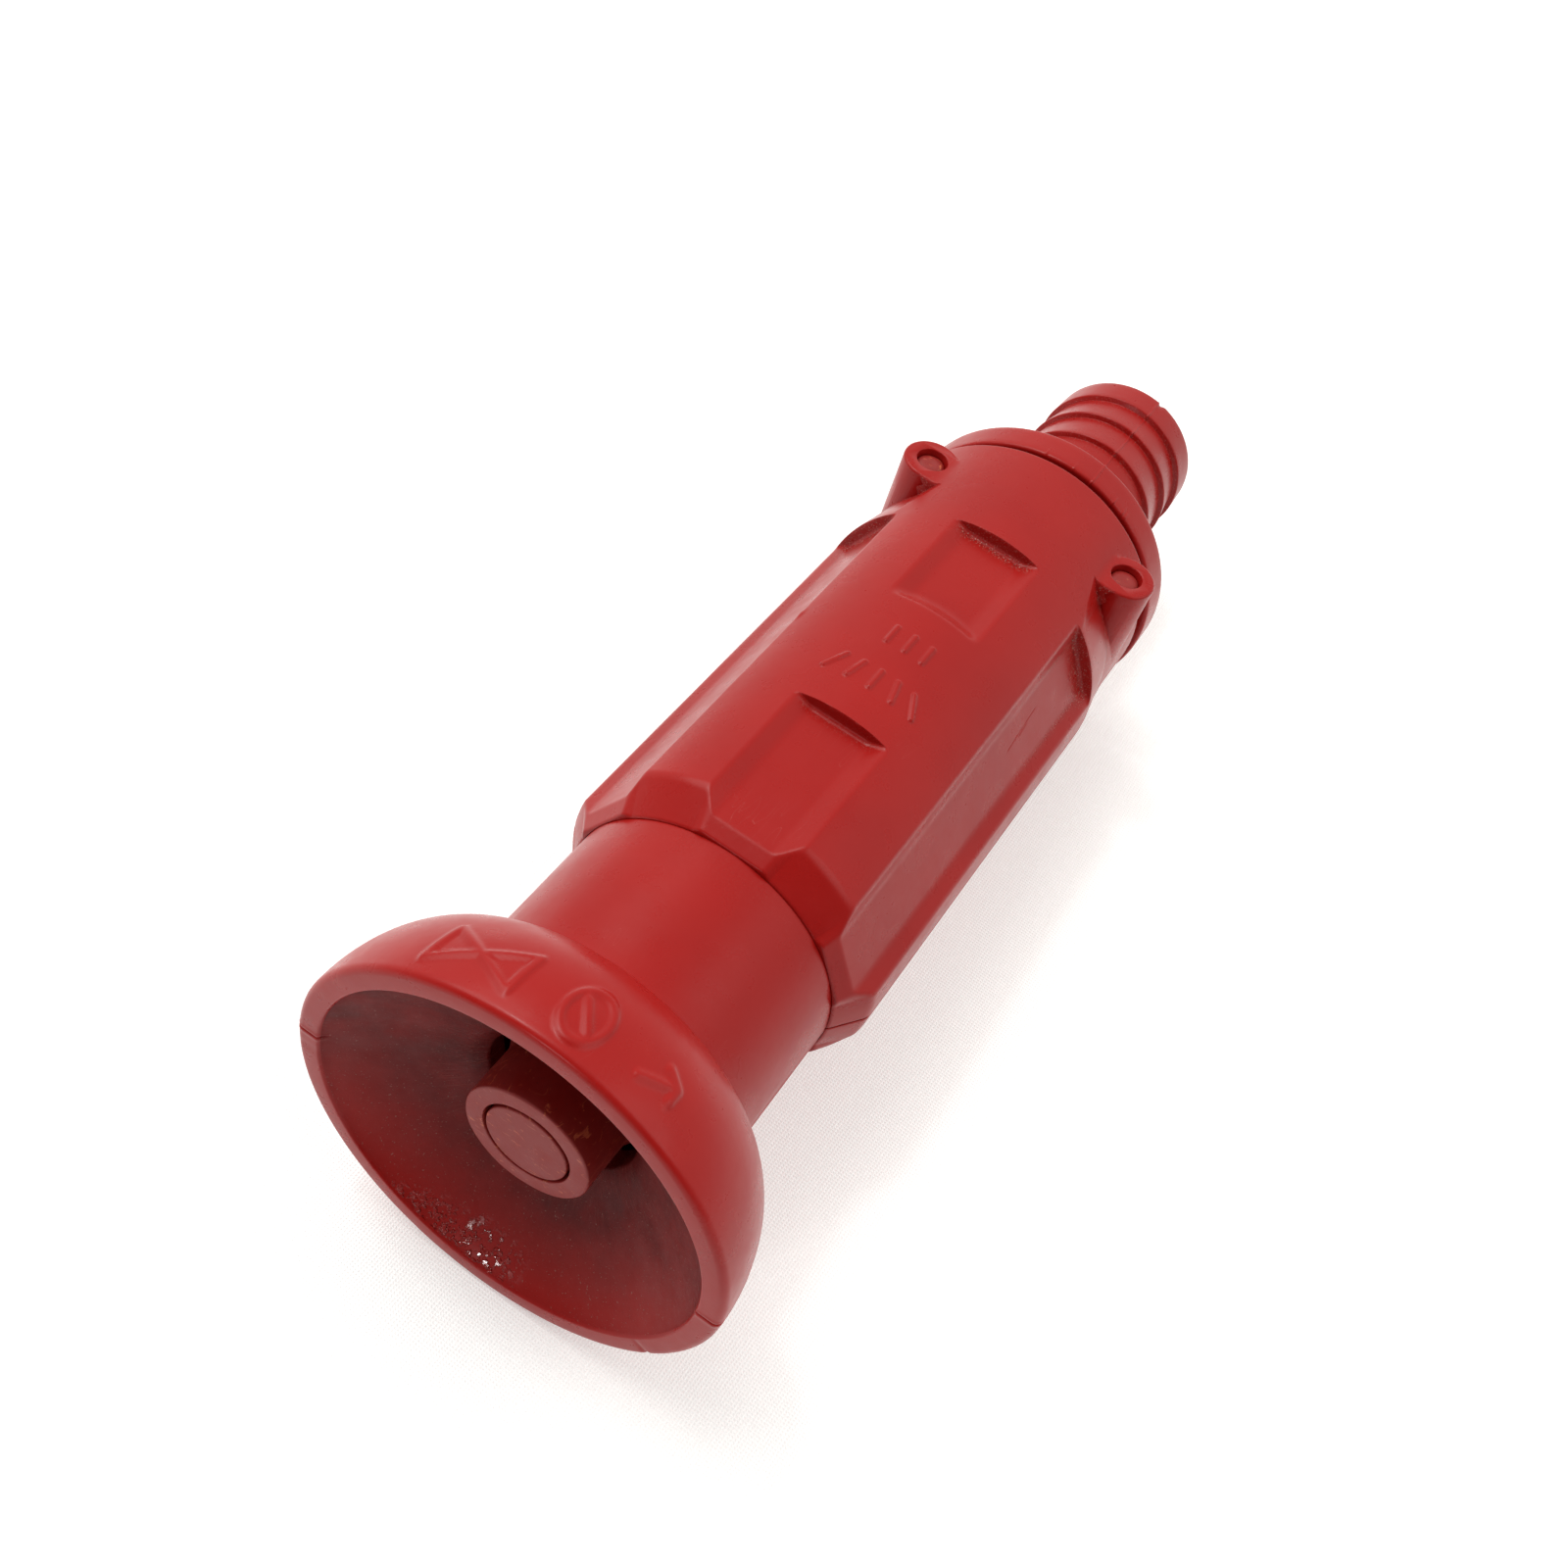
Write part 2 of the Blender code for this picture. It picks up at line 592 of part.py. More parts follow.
def make_grip(material):
    outer_outline = [
        (GRIP_MOUTH, NECK_RADIUS - 2.0 * MM),
        (GRIP_MOUTH, NECK_RADIUS + 0.6 * MM),
        (GRIP_FRONT, GRIP_RADIUS),
        (GRIP_END - 0.8 * MM, GRIP_RADIUS),
        (GRIP_END, GRIP_RADIUS - 0.8 * MM),
        (GRIP_END, 8.0 * MM),
        (GRIP_END - 4.0 * MM, 8.0 * MM),
    ]
    groove = (TUBE_FLANGE[0] - GAP, TUBE_FLANGE[1] + GAP)
    inner_outline = [
        (GRIP_MOUTH - 1.0 * MM, 2.0 * MM),
        (GRIP_MOUTH - 1.0 * MM, NECK_RADIUS + GAP),
        (MOUTH_END, NECK_RADIUS + GAP),
        (MOUTH_END, CAVITY_RADIUS),
        (groove[0] - 3.0 * MM, CAVITY_RADIUS),
        (groove[0] - 3.0 * MM, TUBE_RADIUS + GAP),
        (groove[0], TUBE_RADIUS + GAP),
        (groove[0], TUBE_FLANGE_RADIUS + GAP),
        (groove[1], TUBE_FLANGE_RADIUS + GAP),
        (groove[1], SOCKET_RADIUS + GAP),
        (groove[1] + 3.0 * MM, SOCKET_RADIUS + GAP),
        (groove[1] + 3.0 * MM, TAIL_COLLAR_RADIUS + 0.7 * MM),
        (REAR_BLOCK, TAIL_COLLAR_RADIUS + 0.7 * MM),
        (REAR_BLOCK, TAIL_NECK_RADIUS + GAP),
        (GRIP_END + 1.0 * MM, TAIL_NECK_RADIUS + GAP),
        (GRIP_END + 1.0 * MM, 2.0 * MM),
    ]
    cavity = add_cutter("grip_cavity", revolve(inner_outline, GRIP_STEPS))
    slot_sides = (-GUIDE_LUG_REACH - GAP, GUIDE_LUG_REACH + GAP)
    slot_heights = (-GUIDE_LUG_HALF - GAP, GUIDE_LUG_HALF + GAP)
    guide_slot = add_cutter("guide_slot", box(GUIDE_SLOT, slot_sides, slot_heights))
    flutes = flute_cutters()
    pockets = pocket_cutters()
    bosses = []
    holes = []
    for number, side in enumerate((BOSS_SIDE, -BOSS_SIDE)):
        boss = upright_bar(side, BOSS_RADIUS, -BOSS_HEIGHT, BOSS_HEIGHT, 24)
        bosses.append(add_cutter(f"boss_{number + 1}", boss))
        hole = upright_bar(side, RIVET_RADIUS + GAP, -30.0 * MM, 30.0 * MM, 20)
        holes.append(add_cutter(f"rivet_hole_{number + 1}", hole))
    for name, sign in (("upper_grip_shell", 1), ("lower_grip_shell", -1)):
        shell = add_piece(name, revolve(outer_outline, GRIP_STEPS), material)
        for pocket in pockets:
            use_boolean(shell, pocket, "DIFFERENCE")
        for boss in bosses:
            use_boolean(shell, boss, "UNION")
        for cutter in flutes + [cavity, guide_slot] + holes:
            use_boolean(shell, cutter, "DIFFERENCE")
        other_side = sorted((sign * GAP / 2, -sign * 40.0 * MM))
        half = box((30.0 * MM, 150.0 * MM), (-40.0 * MM, 40.0 * MM), other_side)
        use_boolean(shell, add_cutter(name + "_split", half), "DIFFERENCE")


def make_rivets(material):
    dome = 0.9 * MM
    for name, side in (("left_rivet", BOSS_SIDE), ("right_rivet", -BOSS_SIDE)):
        sections = []
        rows = [(-RIVET_HALF_LENGTH, 0.45), (-RIVET_HALF_LENGTH + dome * 0.4, 0.8), (-RIVET_HALF_LENGTH + dome, 1.0)]
        rows += [(-height, share) for height, share in reversed(rows)]
        for height, share in rows:
            section = []
            for step in range(16):
                turn = step * math.tau / 16
                x = along(BOSS_PLACE) + RIVET_RADIUS * share * math.cos(turn)
                section.append(Vector((x, side + RIVET_RADIUS * share * math.sin(turn), height)))
            sections.append(section)
        add_piece(name, loft(sections), material)


def barb_points():
    # Each barb has a steep face towards the grip and a slow taper towards the end.
    points = []
    ends = list(BARB_STARTS[1:]) + [OVERALL_LENGTH]
    for start, end in zip(BARB_STARTS, ends):
        last = end == OVERALL_LENGTH
        points.append((start, BARB_ROOT))
        points.append((start + 0.5 * MM, BARB_RADIUS - 0.1 * MM))
        points.append((start + 1.0 * MM, BARB_RADIUS))
        if last:
            points.append((end - 0.6 * MM, BARB_RADIUS - 0.1 * MM))
            points.append((end, BARB_RADIUS - 0.7 * MM))
        else:
            points.append((start + 2.2 * MM, BARB_RADIUS - 0.1 * MM))
    return points


def make_hose_tail(material, parent):
    outline = [
        (TAIL_SPIGOT, SPIGOT_BORE),
        (TAIL_SPIGOT, TAIL_SPIGOT_RADIUS - 0.5 * MM),
        (TAIL_SPIGOT + 0.5 * MM, TAIL_SPIGOT_RADIUS),
        (TAIL_SEAL_GROOVE[0], TAIL_SPIGOT_RADIUS),
        (TAIL_SEAL_GROOVE[0], TAIL_SEAL_FLOOR),
        (TAIL_SEAL_GROOVE[1], TAIL_SEAL_FLOOR),
        (TAIL_SEAL_GROOVE[1], TAIL_SPIGOT_RADIUS),
        (TAIL_COLLAR[0], TAIL_SPIGOT_RADIUS),
        (TAIL_COLLAR[0], TAIL_COLLAR_RADIUS),
        (TAIL_COLLAR[1], TAIL_COLLAR_RADIUS),
        (TAIL_COLLAR[1], TAIL_NECK_RADIUS),
        (TAIL_FLANGE[0], TAIL_NECK_RADIUS),
        (TAIL_FLANGE[0], TAIL_FLANGE_RADIUS - 0.5 * MM),
        (TAIL_FLANGE[0] + 0.5 * MM, TAIL_FLANGE_RADIUS),
        (TAIL_FLANGE[1] - 0.4 * MM, TAIL_FLANGE_RADIUS),
        (TAIL_FLANGE[1], TAIL_FLANGE_RADIUS - 0.4 * MM),
        (TAIL_FLANGE[1], BARB_ROOT),
    ]
    outline += barb_points()
    outline += [(OVERALL_LENGTH, TAIL_BORE), (BORE_STEP[1], TAIL_BORE), (BORE_STEP[0], SPIGOT_BORE)]
    return add_piece("hose_tail", revolve(outline, TAIL_STEPS), material, parent)


def make_thrust_washer(material):
    front = TAIL_COLLAR[1] + GAP
    back = REAR_BLOCK - GAP
    inner = TAIL_NECK_RADIUS + GAP
    outline = [(front, inner), (front, TAIL_COLLAR_RADIUS), (back, TAIL_COLLAR_RADIUS), (back, inner)]
    return add_piece("thrust_washer", revolve(outline, TUBE_STEPS), material)


def main():
    clear_scene()
    red = make_material("red_plastic", RED_PLASTIC, 0.35)
    stem_red = make_material("stem_plastic", RED_PLASTIC, 0.5)
    rubber = make_material("black_rubber", BLACK_RUBBER, 0.7)
    acetal = make_material("white_acetal", WHITE_ACETAL, 0.45)
    steel = make_material("bright_steel", BRIGHT_STEEL, 0.3, 1.0)

    travel = make_empty("bell_travel")
    twist = make_empty("bell_twist", travel)
    swivel = make_empty("tail_swivel")

    make_bell_sleeve(red, twist)
    make_cam_pins(steel, twist)
    make_guide_ring(acetal, travel)
    make_water_tube(stem_red)
    make_spider(stem_red)
    make_plug(stem_red, stem_red)
    make_grip(red)
    make_rivets(stem_red)
    make_hose_tail(red, swivel)
    make_thrust_washer(acetal)
    seal_ring("plug_seal", PLUG_SEAL_GROOVE, PLUG_SEAL_FLOOR, PLUG_SEAL_CORD, rubber)
    seal_ring("sleeve_seal", SLEEVE_SEAL_GROOVE, SLEEVE_SEAL_FLOOR, SLEEVE_SEAL_CORD, rubber)
    seal_ring("tail_seal", TAIL_SEAL_GROOVE, TAIL_SEAL_FLOOR, TAIL_SEAL_CORD, rubber, swivel)


main()
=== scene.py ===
import math

import bmesh
import bpy
import numpy as np
from mathutils import Matrix, Vector


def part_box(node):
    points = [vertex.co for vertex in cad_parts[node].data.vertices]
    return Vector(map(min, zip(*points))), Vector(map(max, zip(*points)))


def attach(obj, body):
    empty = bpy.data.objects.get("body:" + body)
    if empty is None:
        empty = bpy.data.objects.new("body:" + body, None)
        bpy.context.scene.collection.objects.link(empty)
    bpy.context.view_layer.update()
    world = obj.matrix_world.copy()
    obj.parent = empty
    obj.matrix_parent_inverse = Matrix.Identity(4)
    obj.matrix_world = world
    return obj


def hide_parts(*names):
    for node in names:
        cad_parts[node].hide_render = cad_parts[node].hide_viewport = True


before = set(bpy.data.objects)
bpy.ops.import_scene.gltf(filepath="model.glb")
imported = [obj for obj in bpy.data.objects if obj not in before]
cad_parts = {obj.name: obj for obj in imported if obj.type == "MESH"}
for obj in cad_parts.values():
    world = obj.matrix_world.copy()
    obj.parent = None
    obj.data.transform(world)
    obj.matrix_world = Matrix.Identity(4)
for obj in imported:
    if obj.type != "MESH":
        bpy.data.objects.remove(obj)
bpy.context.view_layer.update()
print("frame loaded:", len(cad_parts), "nodes")

mm = 0.001
bellLow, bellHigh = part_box("bell_sleeve")
rimX = bellHigh.x
axisHeight = (bellLow.z + bellHigh.z) / 2
# Every length below is in mm. "behind" is the distance behind the rim of the bell,
# and an angle is in degrees from the top of the grip, growing towards -Y.


def place(behind, radius, angle):
    turn = np.radians(angle)
    x = rimX - np.asarray(behind, float) * mm
    y = -np.asarray(radius, float) * np.sin(turn) * mm
    z = axisHeight + np.asarray(radius, float) * np.cos(turn) * mm
    return np.stack(np.broadcast_arrays(x, y, z), axis=-1)


def softMin(a, b, reach):
    share = np.clip(0.5 + 0.5 * (b - a) / reach, 0.0, 1.0)
    return b * (1 - share) + a * share - reach * share * (1 - share)


def softMax(a, b, reach):
    return -softMin(-np.asarray(a), -np.asarray(b), reach)


def fade(low, high, value):
    share = np.clip((value - low) / (high - low), 0.0, 1.0)
    return share * share * (3 - 2 * share)


def wrapAngle(angle):
    return (np.asarray(angle) + 180.0) % 360.0 - 180.0


def spacing(start, end, coarse, zones):
    # Stations from start to end: coarse steps, with finer ones in each (centre, reach, step) zone.
    stations = [start]
    while stations[-1] < end - 1e-6:
        step = coarse
        for centre, reach, fine in zones:
            away = max(abs(stations[-1] - centre) - reach, 0.0)
            step = min(step, fine + away * 0.3)
        stations.append(min(stations[-1] + step, end))
    if stations[-1] - stations[-2] < 0.3 * (stations[-2] - stations[-3]):
        stations.pop(-2)
    return np.array(stations)


def roundCorners(corners, pieces=5):
    # A list of (behind, radius, fillet) corners becomes points, with an arc at each filleted corner.
    points = []
    count = len(corners)
    for index, (a, b, fillet) in enumerate(corners):
        here = np.array([a, b], float)
        if fillet <= 0:
            points.append(here)
            continue
        before = np.array(corners[index - 1][:2], float) - here
        after = np.array(corners[(index + 1) % count][:2], float) - here
        lengthBefore = np.linalg.norm(before)
        lengthAfter = np.linalg.norm(after)
        before /= lengthBefore
        after /= lengthAfter
        half = math.acos(float(np.clip(before @ after, -1, 1))) / 2
        cut = min(fillet / math.tan(half), 0.48 * lengthBefore, 0.48 * lengthAfter)
        reach = cut * math.tan(half)
        middle = here + (before + after) / np.linalg.norm(before + after) * reach / math.sin(half)
        first = here + before * cut - middle
        last = here + after * cut - middle
        sweep = math.pi - 2 * half
        for step in range(pieces + 1):
            share = step / pieces
            low = math.sin((1 - share) * sweep) / math.sin(sweep)
            high = math.sin(share * sweep) / math.sin(sweep)
            points.append(middle + first * low + last * high)
    return np.array(points)


def outlineNormals(outline):
    ahead = np.roll(outline, -1, axis=0) - outline
    back = outline - np.roll(outline, 1, axis=0)
    ahead /= np.maximum(np.linalg.norm(ahead, axis=1, keepdims=True), 1e-9)
    back /= np.maximum(np.linalg.norm(back, axis=1, keepdims=True), 1e-9)
    along = ahead + back
    along /= np.maximum(np.linalg.norm(along, axis=1, keepdims=True), 1e-9)
    return np.stack([-along[:, 1], along[:, 0]], axis=1)


def makePiece(name, points, faces, sharpAngle=32.0, values=None):
    mesh = bpy.data.meshes.new(name)
    mesh.from_pydata([tuple(p) for p in points], [], faces)
    for key, data in (values or {}).items():
        layer = mesh.attributes.new(key, "FLOAT", "POINT")
        layer.data.foreach_set("value", np.asarray(data, np.float32).ravel())
    shape = bmesh.new()
    shape.from_mesh(mesh)
    bmesh.ops.recalc_face_normals(shape, faces=shape.faces)
    shape.to_mesh(mesh)
    shape.free()
    piece = bpy.data.objects.new(name, mesh)
    bpy.context.scene.collection.objects.link(piece)
    mesh.shade_smooth()
    mesh.set_sharp_from_angle(angle=math.radians(sharpAngle))
    return piece


def gridFaces(rows, columns, closeRows, closeColumns):
    r = np.arange(rows if closeRows else rows - 1)
    c = np.arange(columns if closeColumns else columns - 1)
    rr, cc = np.meshgrid(r, c, indexing="ij")
    r2 = (rr + 1) % rows
    c2 = (cc + 1) % columns
    quads = np.stack([rr * columns + cc, r2 * columns + cc, r2 * columns + c2, rr * columns + c2], axis=-1)
    return quads.reshape(-1, 4).tolist()


def turnProfile(name, outline, angles, relief, values=None, sharpAngle=32.0):
    # A closed outline turned about the nozzle's axis; relief pushes points along the outline's normal.
    outline = np.asarray(outline, float)
    angles = np.asarray(angles, float)
    behind = outline[:, :1] + 0 * angles[None, :]
    radius = outline[:, 1:] + 0 * angles[None, :]
    turn = 0 * behind + angles[None, :]
    extra = values(behind, radius, turn) if values else None
    normals = outlineNormals(outline)
    push = relief(behind, radius, turn)
    behind = behind + push * normals[:, :1]
    radius = radius + push * normals[:, 1:]
    points = place(behind, radius, turn)
    faces = gridFaces(len(outline), len(angles), True, True)
    return makePiece(name, points.reshape(-1, 3), faces, sharpAngle, extra)


def turnSolid(name, outline, steps, shift):
    # Like turnProfile, for an open outline that starts and ends on the axis.
    angles = np.arange(steps) * 360.0 / steps
    inner = np.asarray(outline[1:-1], float)
    body = place(inner[:, :1] + 0 * angles, inner[:, 1:] + 0 * angles, 0 * inner[:, :1] + angles)
    points = body.reshape(-1, 3).tolist()
    first = len(points)
    points.append(place(outline[0][0], 0.0, 0.0).tolist())
    points.append(place(outline[-1][0], 0.0, 0.0).tolist())
    faces = gridFaces(len(inner), steps, False, True)
    lastRow = (len(inner) - 1) * steps
    for step in range(steps):
        following = (step + 1) % steps
        faces.append([first, following, step])
        faces.append([first + 1, lastRow + step, lastRow + following])
    points = np.array(points) + np.array([0.0, shift[0] * mm, shift[1] * mm])
    return makePiece(name, points, faces)


def strokeReach(behind, arc, strokes):
    # Distance in mm from each point to the nearest stroke, given as ((behind, arc), (behind, arc)).
    nearest = np.full(np.broadcast(behind, arc).shape, 99.0)
    for (a0, b0), (a1, b1) in strokes:
        da, db = a1 - a0, b1 - b0
        share = ((behind - a0) * da + (arc - b0) * db) / max(da * da + db * db, 1e-9)
        share = np.clip(share, 0.0, 1.0)
        nearest = np.minimum(nearest, np.hypot(behind - a0 - share * da, arc - b0 - share * db))
    return nearest


def ringReach(behind, arc, centre, halfLong, halfWide):
    # Distance to an upright oval line.
    a = (behind - centre[0]) / halfLong
    b = (arc - centre[1]) / halfWide
    size = np.hypot(a, b)
    return np.abs(size - 1.0) * (halfLong + halfWide) / 2


finishes = {
    "redBase": (0.315, 0.0076, 0.0058),
    "redDeep": (0.277, 0.0056, 0.0046),
    "redRoughness": (0.24, 0.36),
    # The two bowl colours are painted shade: darker than the red outside because the inside of the bell
    # lies in shadow.
    "bowlShadedBase": (0.155, 0.006, 0.0055),
    "bowlShadedDeep": (0.090, 0.0036, 0.0034),
    "bowlRoughness": (0.40, 0.60),
    "plugBase": (0.23, 0.011, 0.009),
    "innerBase": (0.26, 0.010, 0.009),
    "dustColour": (0.50, 0.27, 0.23),
    "acetal": (0.78, 0.77, 0.73),
    "steel": (0.62, 0.61, 0.59),
    "rubber": (0.018, 0.018, 0.019),
}


class Shade:
    # A small helper that adds nodes to one material and joins them.
    def __init__(self, name):
        self.material = bpy.data.materials.new(name)
        self.material.use_nodes = True
        self.tree = self.material.node_tree
        self.shader = self.tree.nodes["Principled BSDF"]
        self.where = self.add("ShaderNodeTexCoord").outputs["Object"]

    def add(self, kind, **settings):
        node = self.tree.nodes.new(kind)
        for key, value in settings.items():
            setattr(node, key, value)
        return node

    def feed(self, socket, value):
        if isinstance(value, bpy.types.NodeSocket):
            self.tree.links.new(value, socket)
        else:
            socket.default_value = value

    def noise(self, scale, detail=3.0, roughness=0.5, where=None, distortion=0.0):
        node = self.add("ShaderNodeTexNoise")
        self.feed(node.inputs["Vector"], where or self.where)
        node.inputs["Scale"].default_value = scale
        node.inputs["Detail"].default_value = detail
        node.inputs["Roughness"].default_value = roughness
        node.inputs["Distortion"].default_value = distortion
        return node.outputs["Fac"]

    def stretch(self, scale, turn=(0.0, 0.0, 0.0)):
        node = self.add("ShaderNodeMapping")
        self.feed(node.inputs["Vector"], self.where)
        node.inputs["Scale"].default_value = scale
        node.inputs["Rotation"].default_value = [math.radians(t) for t in turn]
        return node.outputs["Vector"]

    def span(self, value, low, high, toLow=0.0, toHigh=1.0):
        node = self.add("ShaderNodeMapRange")
        self.feed(node.inputs["Value"], value)
        for key, number in (("From Min", low), ("From Max", high), ("To Min", toLow), ("To Max", toHigh)):
            self.feed(node.inputs[key], number)
        return node.outputs["Result"]

    def maths(self, operation, a, b=0.0):
        node = self.add("ShaderNodeMath", operation=operation)
        self.feed(node.inputs[0], a)
        self.feed(node.inputs[1], b)
        return node.outputs[0]

    def blend(self, share, a, b):
        node = self.add("ShaderNodeMix", data_type="RGBA")
        self.feed(node.inputs["Factor"], share)
        for socket, value in ((node.inputs[6], a), (node.inputs[7], b)):
            self.feed(socket, value if isinstance(value, bpy.types.NodeSocket) else (*value, 1.0))
        return node.outputs[2]

    def value(self, name):
        return self.add("ShaderNodeAttribute", attribute_name=name).outputs["Fac"]

    def bump(self, height, strength, distance, under=None):
        node = self.add("ShaderNodeBump")
        self.feed(node.inputs["Height"], height)
        node.inputs["Strength"].default_value = strength
        node.inputs["Distance"].default_value = distance
        if under is not None:
            self.feed(node.inputs["Normal"], under)
        return node.outputs["Normal"]

    def finish(self, colour, roughness, normal=None, **fixed):
        self.feed(self.shader.inputs["Base Color"], colour)
        self.feed(self.shader.inputs["Roughness"], roughness)
        if normal is not None:
            self.feed(self.shader.inputs["Normal"], normal)
        for key, number in fixed.items():
            self.shader.inputs[key.replace("_", " ")].default_value = number
        return self.material


def scratchShare(shade, scale, turn, width):
    # Sparse hairlines: the thin zero line of a stretched noise, broken up by a second noise.
    lines = shade.noise(scale, 1.0, 0.4, shade.stretch((1.0, 9.0, 9.0), turn))
    thin = shade.span(shade.maths("ABSOLUTE", shade.maths("SUBTRACT", lines, 0.5)), 0.0, width, 1.0, 0.0)
    breaks = shade.span(shade.noise(scale * 0.6, 2.0), 0.60, 0.68)
    return shade.maths("MULTIPLY", thin, breaks)


def makeRedPlastic():
    shade = Shade("satin red plastic")
    clouds = shade.span(shade.noise(38.0, 4.0, 0.55), 0.35, 0.68)
    colour = shade.blend(clouds, finishes["redDeep"], finishes["redBase"])
    specks = shade.span(shade.noise(2600.0, 2.0, 0.6), 0.735, 0.78)
    colour = shade.blend(shade.maths("MULTIPLY", specks, 0.3), colour, (0.10, 0.008, 0.008))
    longHair = scratchShare(shade, 60.0, (0, 0, 12), 0.0035)
    shortHair = scratchShare(shade, 85.0, (20, 0, -38), 0.003)
    hair = shade.maths("ADD", longHair, shortHair)
    colour = shade.blend(shade.maths("MULTIPLY", hair, 0.25), colour, (0.50, 0.13, 0.11))
    amount = shade.value("dust")
    pits = shade.maths("MULTIPLY", amount, shade.span(shade.noise(4300.0, 2.0, 0.6), 0.50, 0.56))
    grains = shade.span(shade.noise(3900.0, 1.0, 0.5, shade.stretch((1.0, 1.3, 1.1))), 0.62, 0.66)
    dust = shade.maths("MULTIPLY", amount, grains)
    colour = shade.blend(shade.maths("MULTIPLY", pits, 0.75), colour, (0.10, 0.014, 0.012))
    colour = shade.blend(shade.maths("MULTIPLY", dust, 0.85), colour, finishes["dustColour"])
    rough = shade.span(shade.noise(210.0, 4.0, 0.6), 0.3, 0.7, *finishes["redRoughness"])
    rough = shade.maths("ADD", rough, shade.maths("MULTIPLY", dust, 0.3))
    normal = shade.bump(shade.noise(420.0, 2.0, 0.5), 0.10, 0.0003)
    normal = shade.bump(shade.noise(5200.0, 2.0, 0.5), 0.05, 0.00005, normal)
    normal = shade.bump(shade.maths("SUBTRACT", dust, hair), 0.25, 0.00006, normal)
    return shade.finish(colour, rough, normal, IOR=1.45, Specular_IOR_Level=0.22)


def makeShadedBowlPlastic():
    # The dull inside of the bell: mottled colour darkened as painted shade, flow streaks near the throat,
    # and low down a painted pool of bounce light and wet beads.
    shade = Shade("dull bowl plastic in painted shade")
    split = shade.add("ShaderNodeSeparateXYZ")
    shade.feed(split.inputs[0], shade.where)
    up = shade.maths("SUBTRACT", split.outputs["Z"], axisHeight)
    upSquared = shade.maths("MULTIPLY", up, up)
    acrossSquared = shade.maths("MULTIPLY", split.outputs["Y"], split.outputs["Y"])
    reach = shade.maths("SQRT", shade.maths("ADD", upSquared, acrossSquared))
    turn = shade.maths("ARCTAN2", split.outputs["Y"], up)
    polar = shade.add("ShaderNodeCombineXYZ")
    shade.feed(polar.inputs[0], shade.maths("MULTIPLY", turn, 14.0))
    shade.feed(polar.inputs[1], shade.maths("MULTIPLY", reach, 70.0))
    streaks = shade.span(shade.noise(3.0, 3.0, 0.6, polar.outputs[0]), 0.54, 0.72)
    nearThroat = shade.span(reach, 0.0105, 0.0185, 1.0, 0.0)
    streaks = shade.maths("MULTIPLY", streaks, nearThroat)
    # Painted shade: the mottled film moves between two darkened tones of the red, for the shadow inside
    # the bell.
    film = shade.span(shade.noise(120.0, 5.0, 0.62), 0.36, 0.66)
    low = shade.maths("MULTIPLY", shade.span(reach, 0.0175, 0.0265), shade.span(up, 0.006, -0.014))
    colour = shade.blend(film, finishes["bowlShadedDeep"], finishes["bowlShadedBase"])
    # Painted bounce light: low in the bowl, the colour is blended towards a brighter, more saturated red.
    colour = shade.blend(shade.maths("MULTIPLY", low, 0.85), colour, (0.30, 0.008, 0.006))
    colour = shade.blend(shade.maths("MULTIPLY", streaks, 0.5), colour, (0.25, 0.085, 0.07))
    specks = shade.span(shade.noise(3300.0, 2.0, 0.6), 0.665, 0.70)
    colour = shade.blend(shade.maths("MULTIPLY", specks, 0.45), colour, (0.34, 0.20, 0.17))
    rough = shade.span(shade.noise(260.0, 4.0, 0.6), 0.3, 0.7, *finishes["bowlRoughness"])
    lowest = shade.span(up, -0.0226, -0.0252)
    wet = shade.maths("MULTIPLY", lowest, shade.span(shade.noise(150.0, 2.0), 0.34, 0.46))
    wet = shade.maths("MULTIPLY", wet, shade.span(split.outputs["Y"], 0.006, 0.001))
    rough = shade.maths("SUBTRACT", rough, shade.maths("MULTIPLY", low, 0.10))
    beads = shade.maths("MULTIPLY", wet, shade.span(shade.noise(1000.0, 2.0, 0.6), 0.50, 0.60))
    rough = shade.maths("SUBTRACT", rough, shade.maths("MULTIPLY", beads, 0.36))
    normal = shade.bump(shade.noise(900.0, 4.0, 0.62), 0.35, 0.00012)
    normal = shade.bump(beads, 0.8, 0.0004, normal)
    normal = shade.bump(shade.maths("ADD", streaks, specks), 0.5, 0.0001, normal)
    shine = shade.maths("ADD", shade.maths("MULTIPLY", beads, 0.9), 0.16)
    shade.feed(shade.shader.inputs["Specular IOR Level"], shine)
    return shade.finish(colour, rough, normal, IOR=1.45)


def makePlugPlastic():
    # The worn plastic of the plug and the pins, with orange scuffs and dark specks.
    shade = Shade("scuffed plug plastic")
    film = shade.span(shade.noise(260.0, 5.0, 0.6), 0.35, 0.7)
    colour = shade.blend(film, finishes["plugBase"], (0.24, 0.017, 0.014))
    slanted = shade.stretch((1.0, 1.0, 3.4), (35, 0, 0))
    scuffs = shade.span(shade.noise(420.0, 3.0, 0.6, slanted, 1.5), 0.61, 0.67)
    colour = shade.blend(shade.maths("MULTIPLY", scuffs, 0.7), colour, (0.52, 0.12, 0.05))
    specks = shade.span(shade.noise(1900.0, 2.0, 0.6), 0.70, 0.74)
    colour = shade.blend(shade.maths("MULTIPLY", specks, 0.6), colour, (0.05, 0.012, 0.01))
    rough = shade.span(film, 0.0, 1.0, 0.40, 0.58)
    normal = shade.bump(shade.noise(1400.0, 4.0, 0.6), 0.2, 0.0001)
    normal = shade.bump(scuffs, 0.3, 0.00008, normal)
    return shade.finish(colour, rough, normal, IOR=1.5, Specular_IOR_Level=0.30)


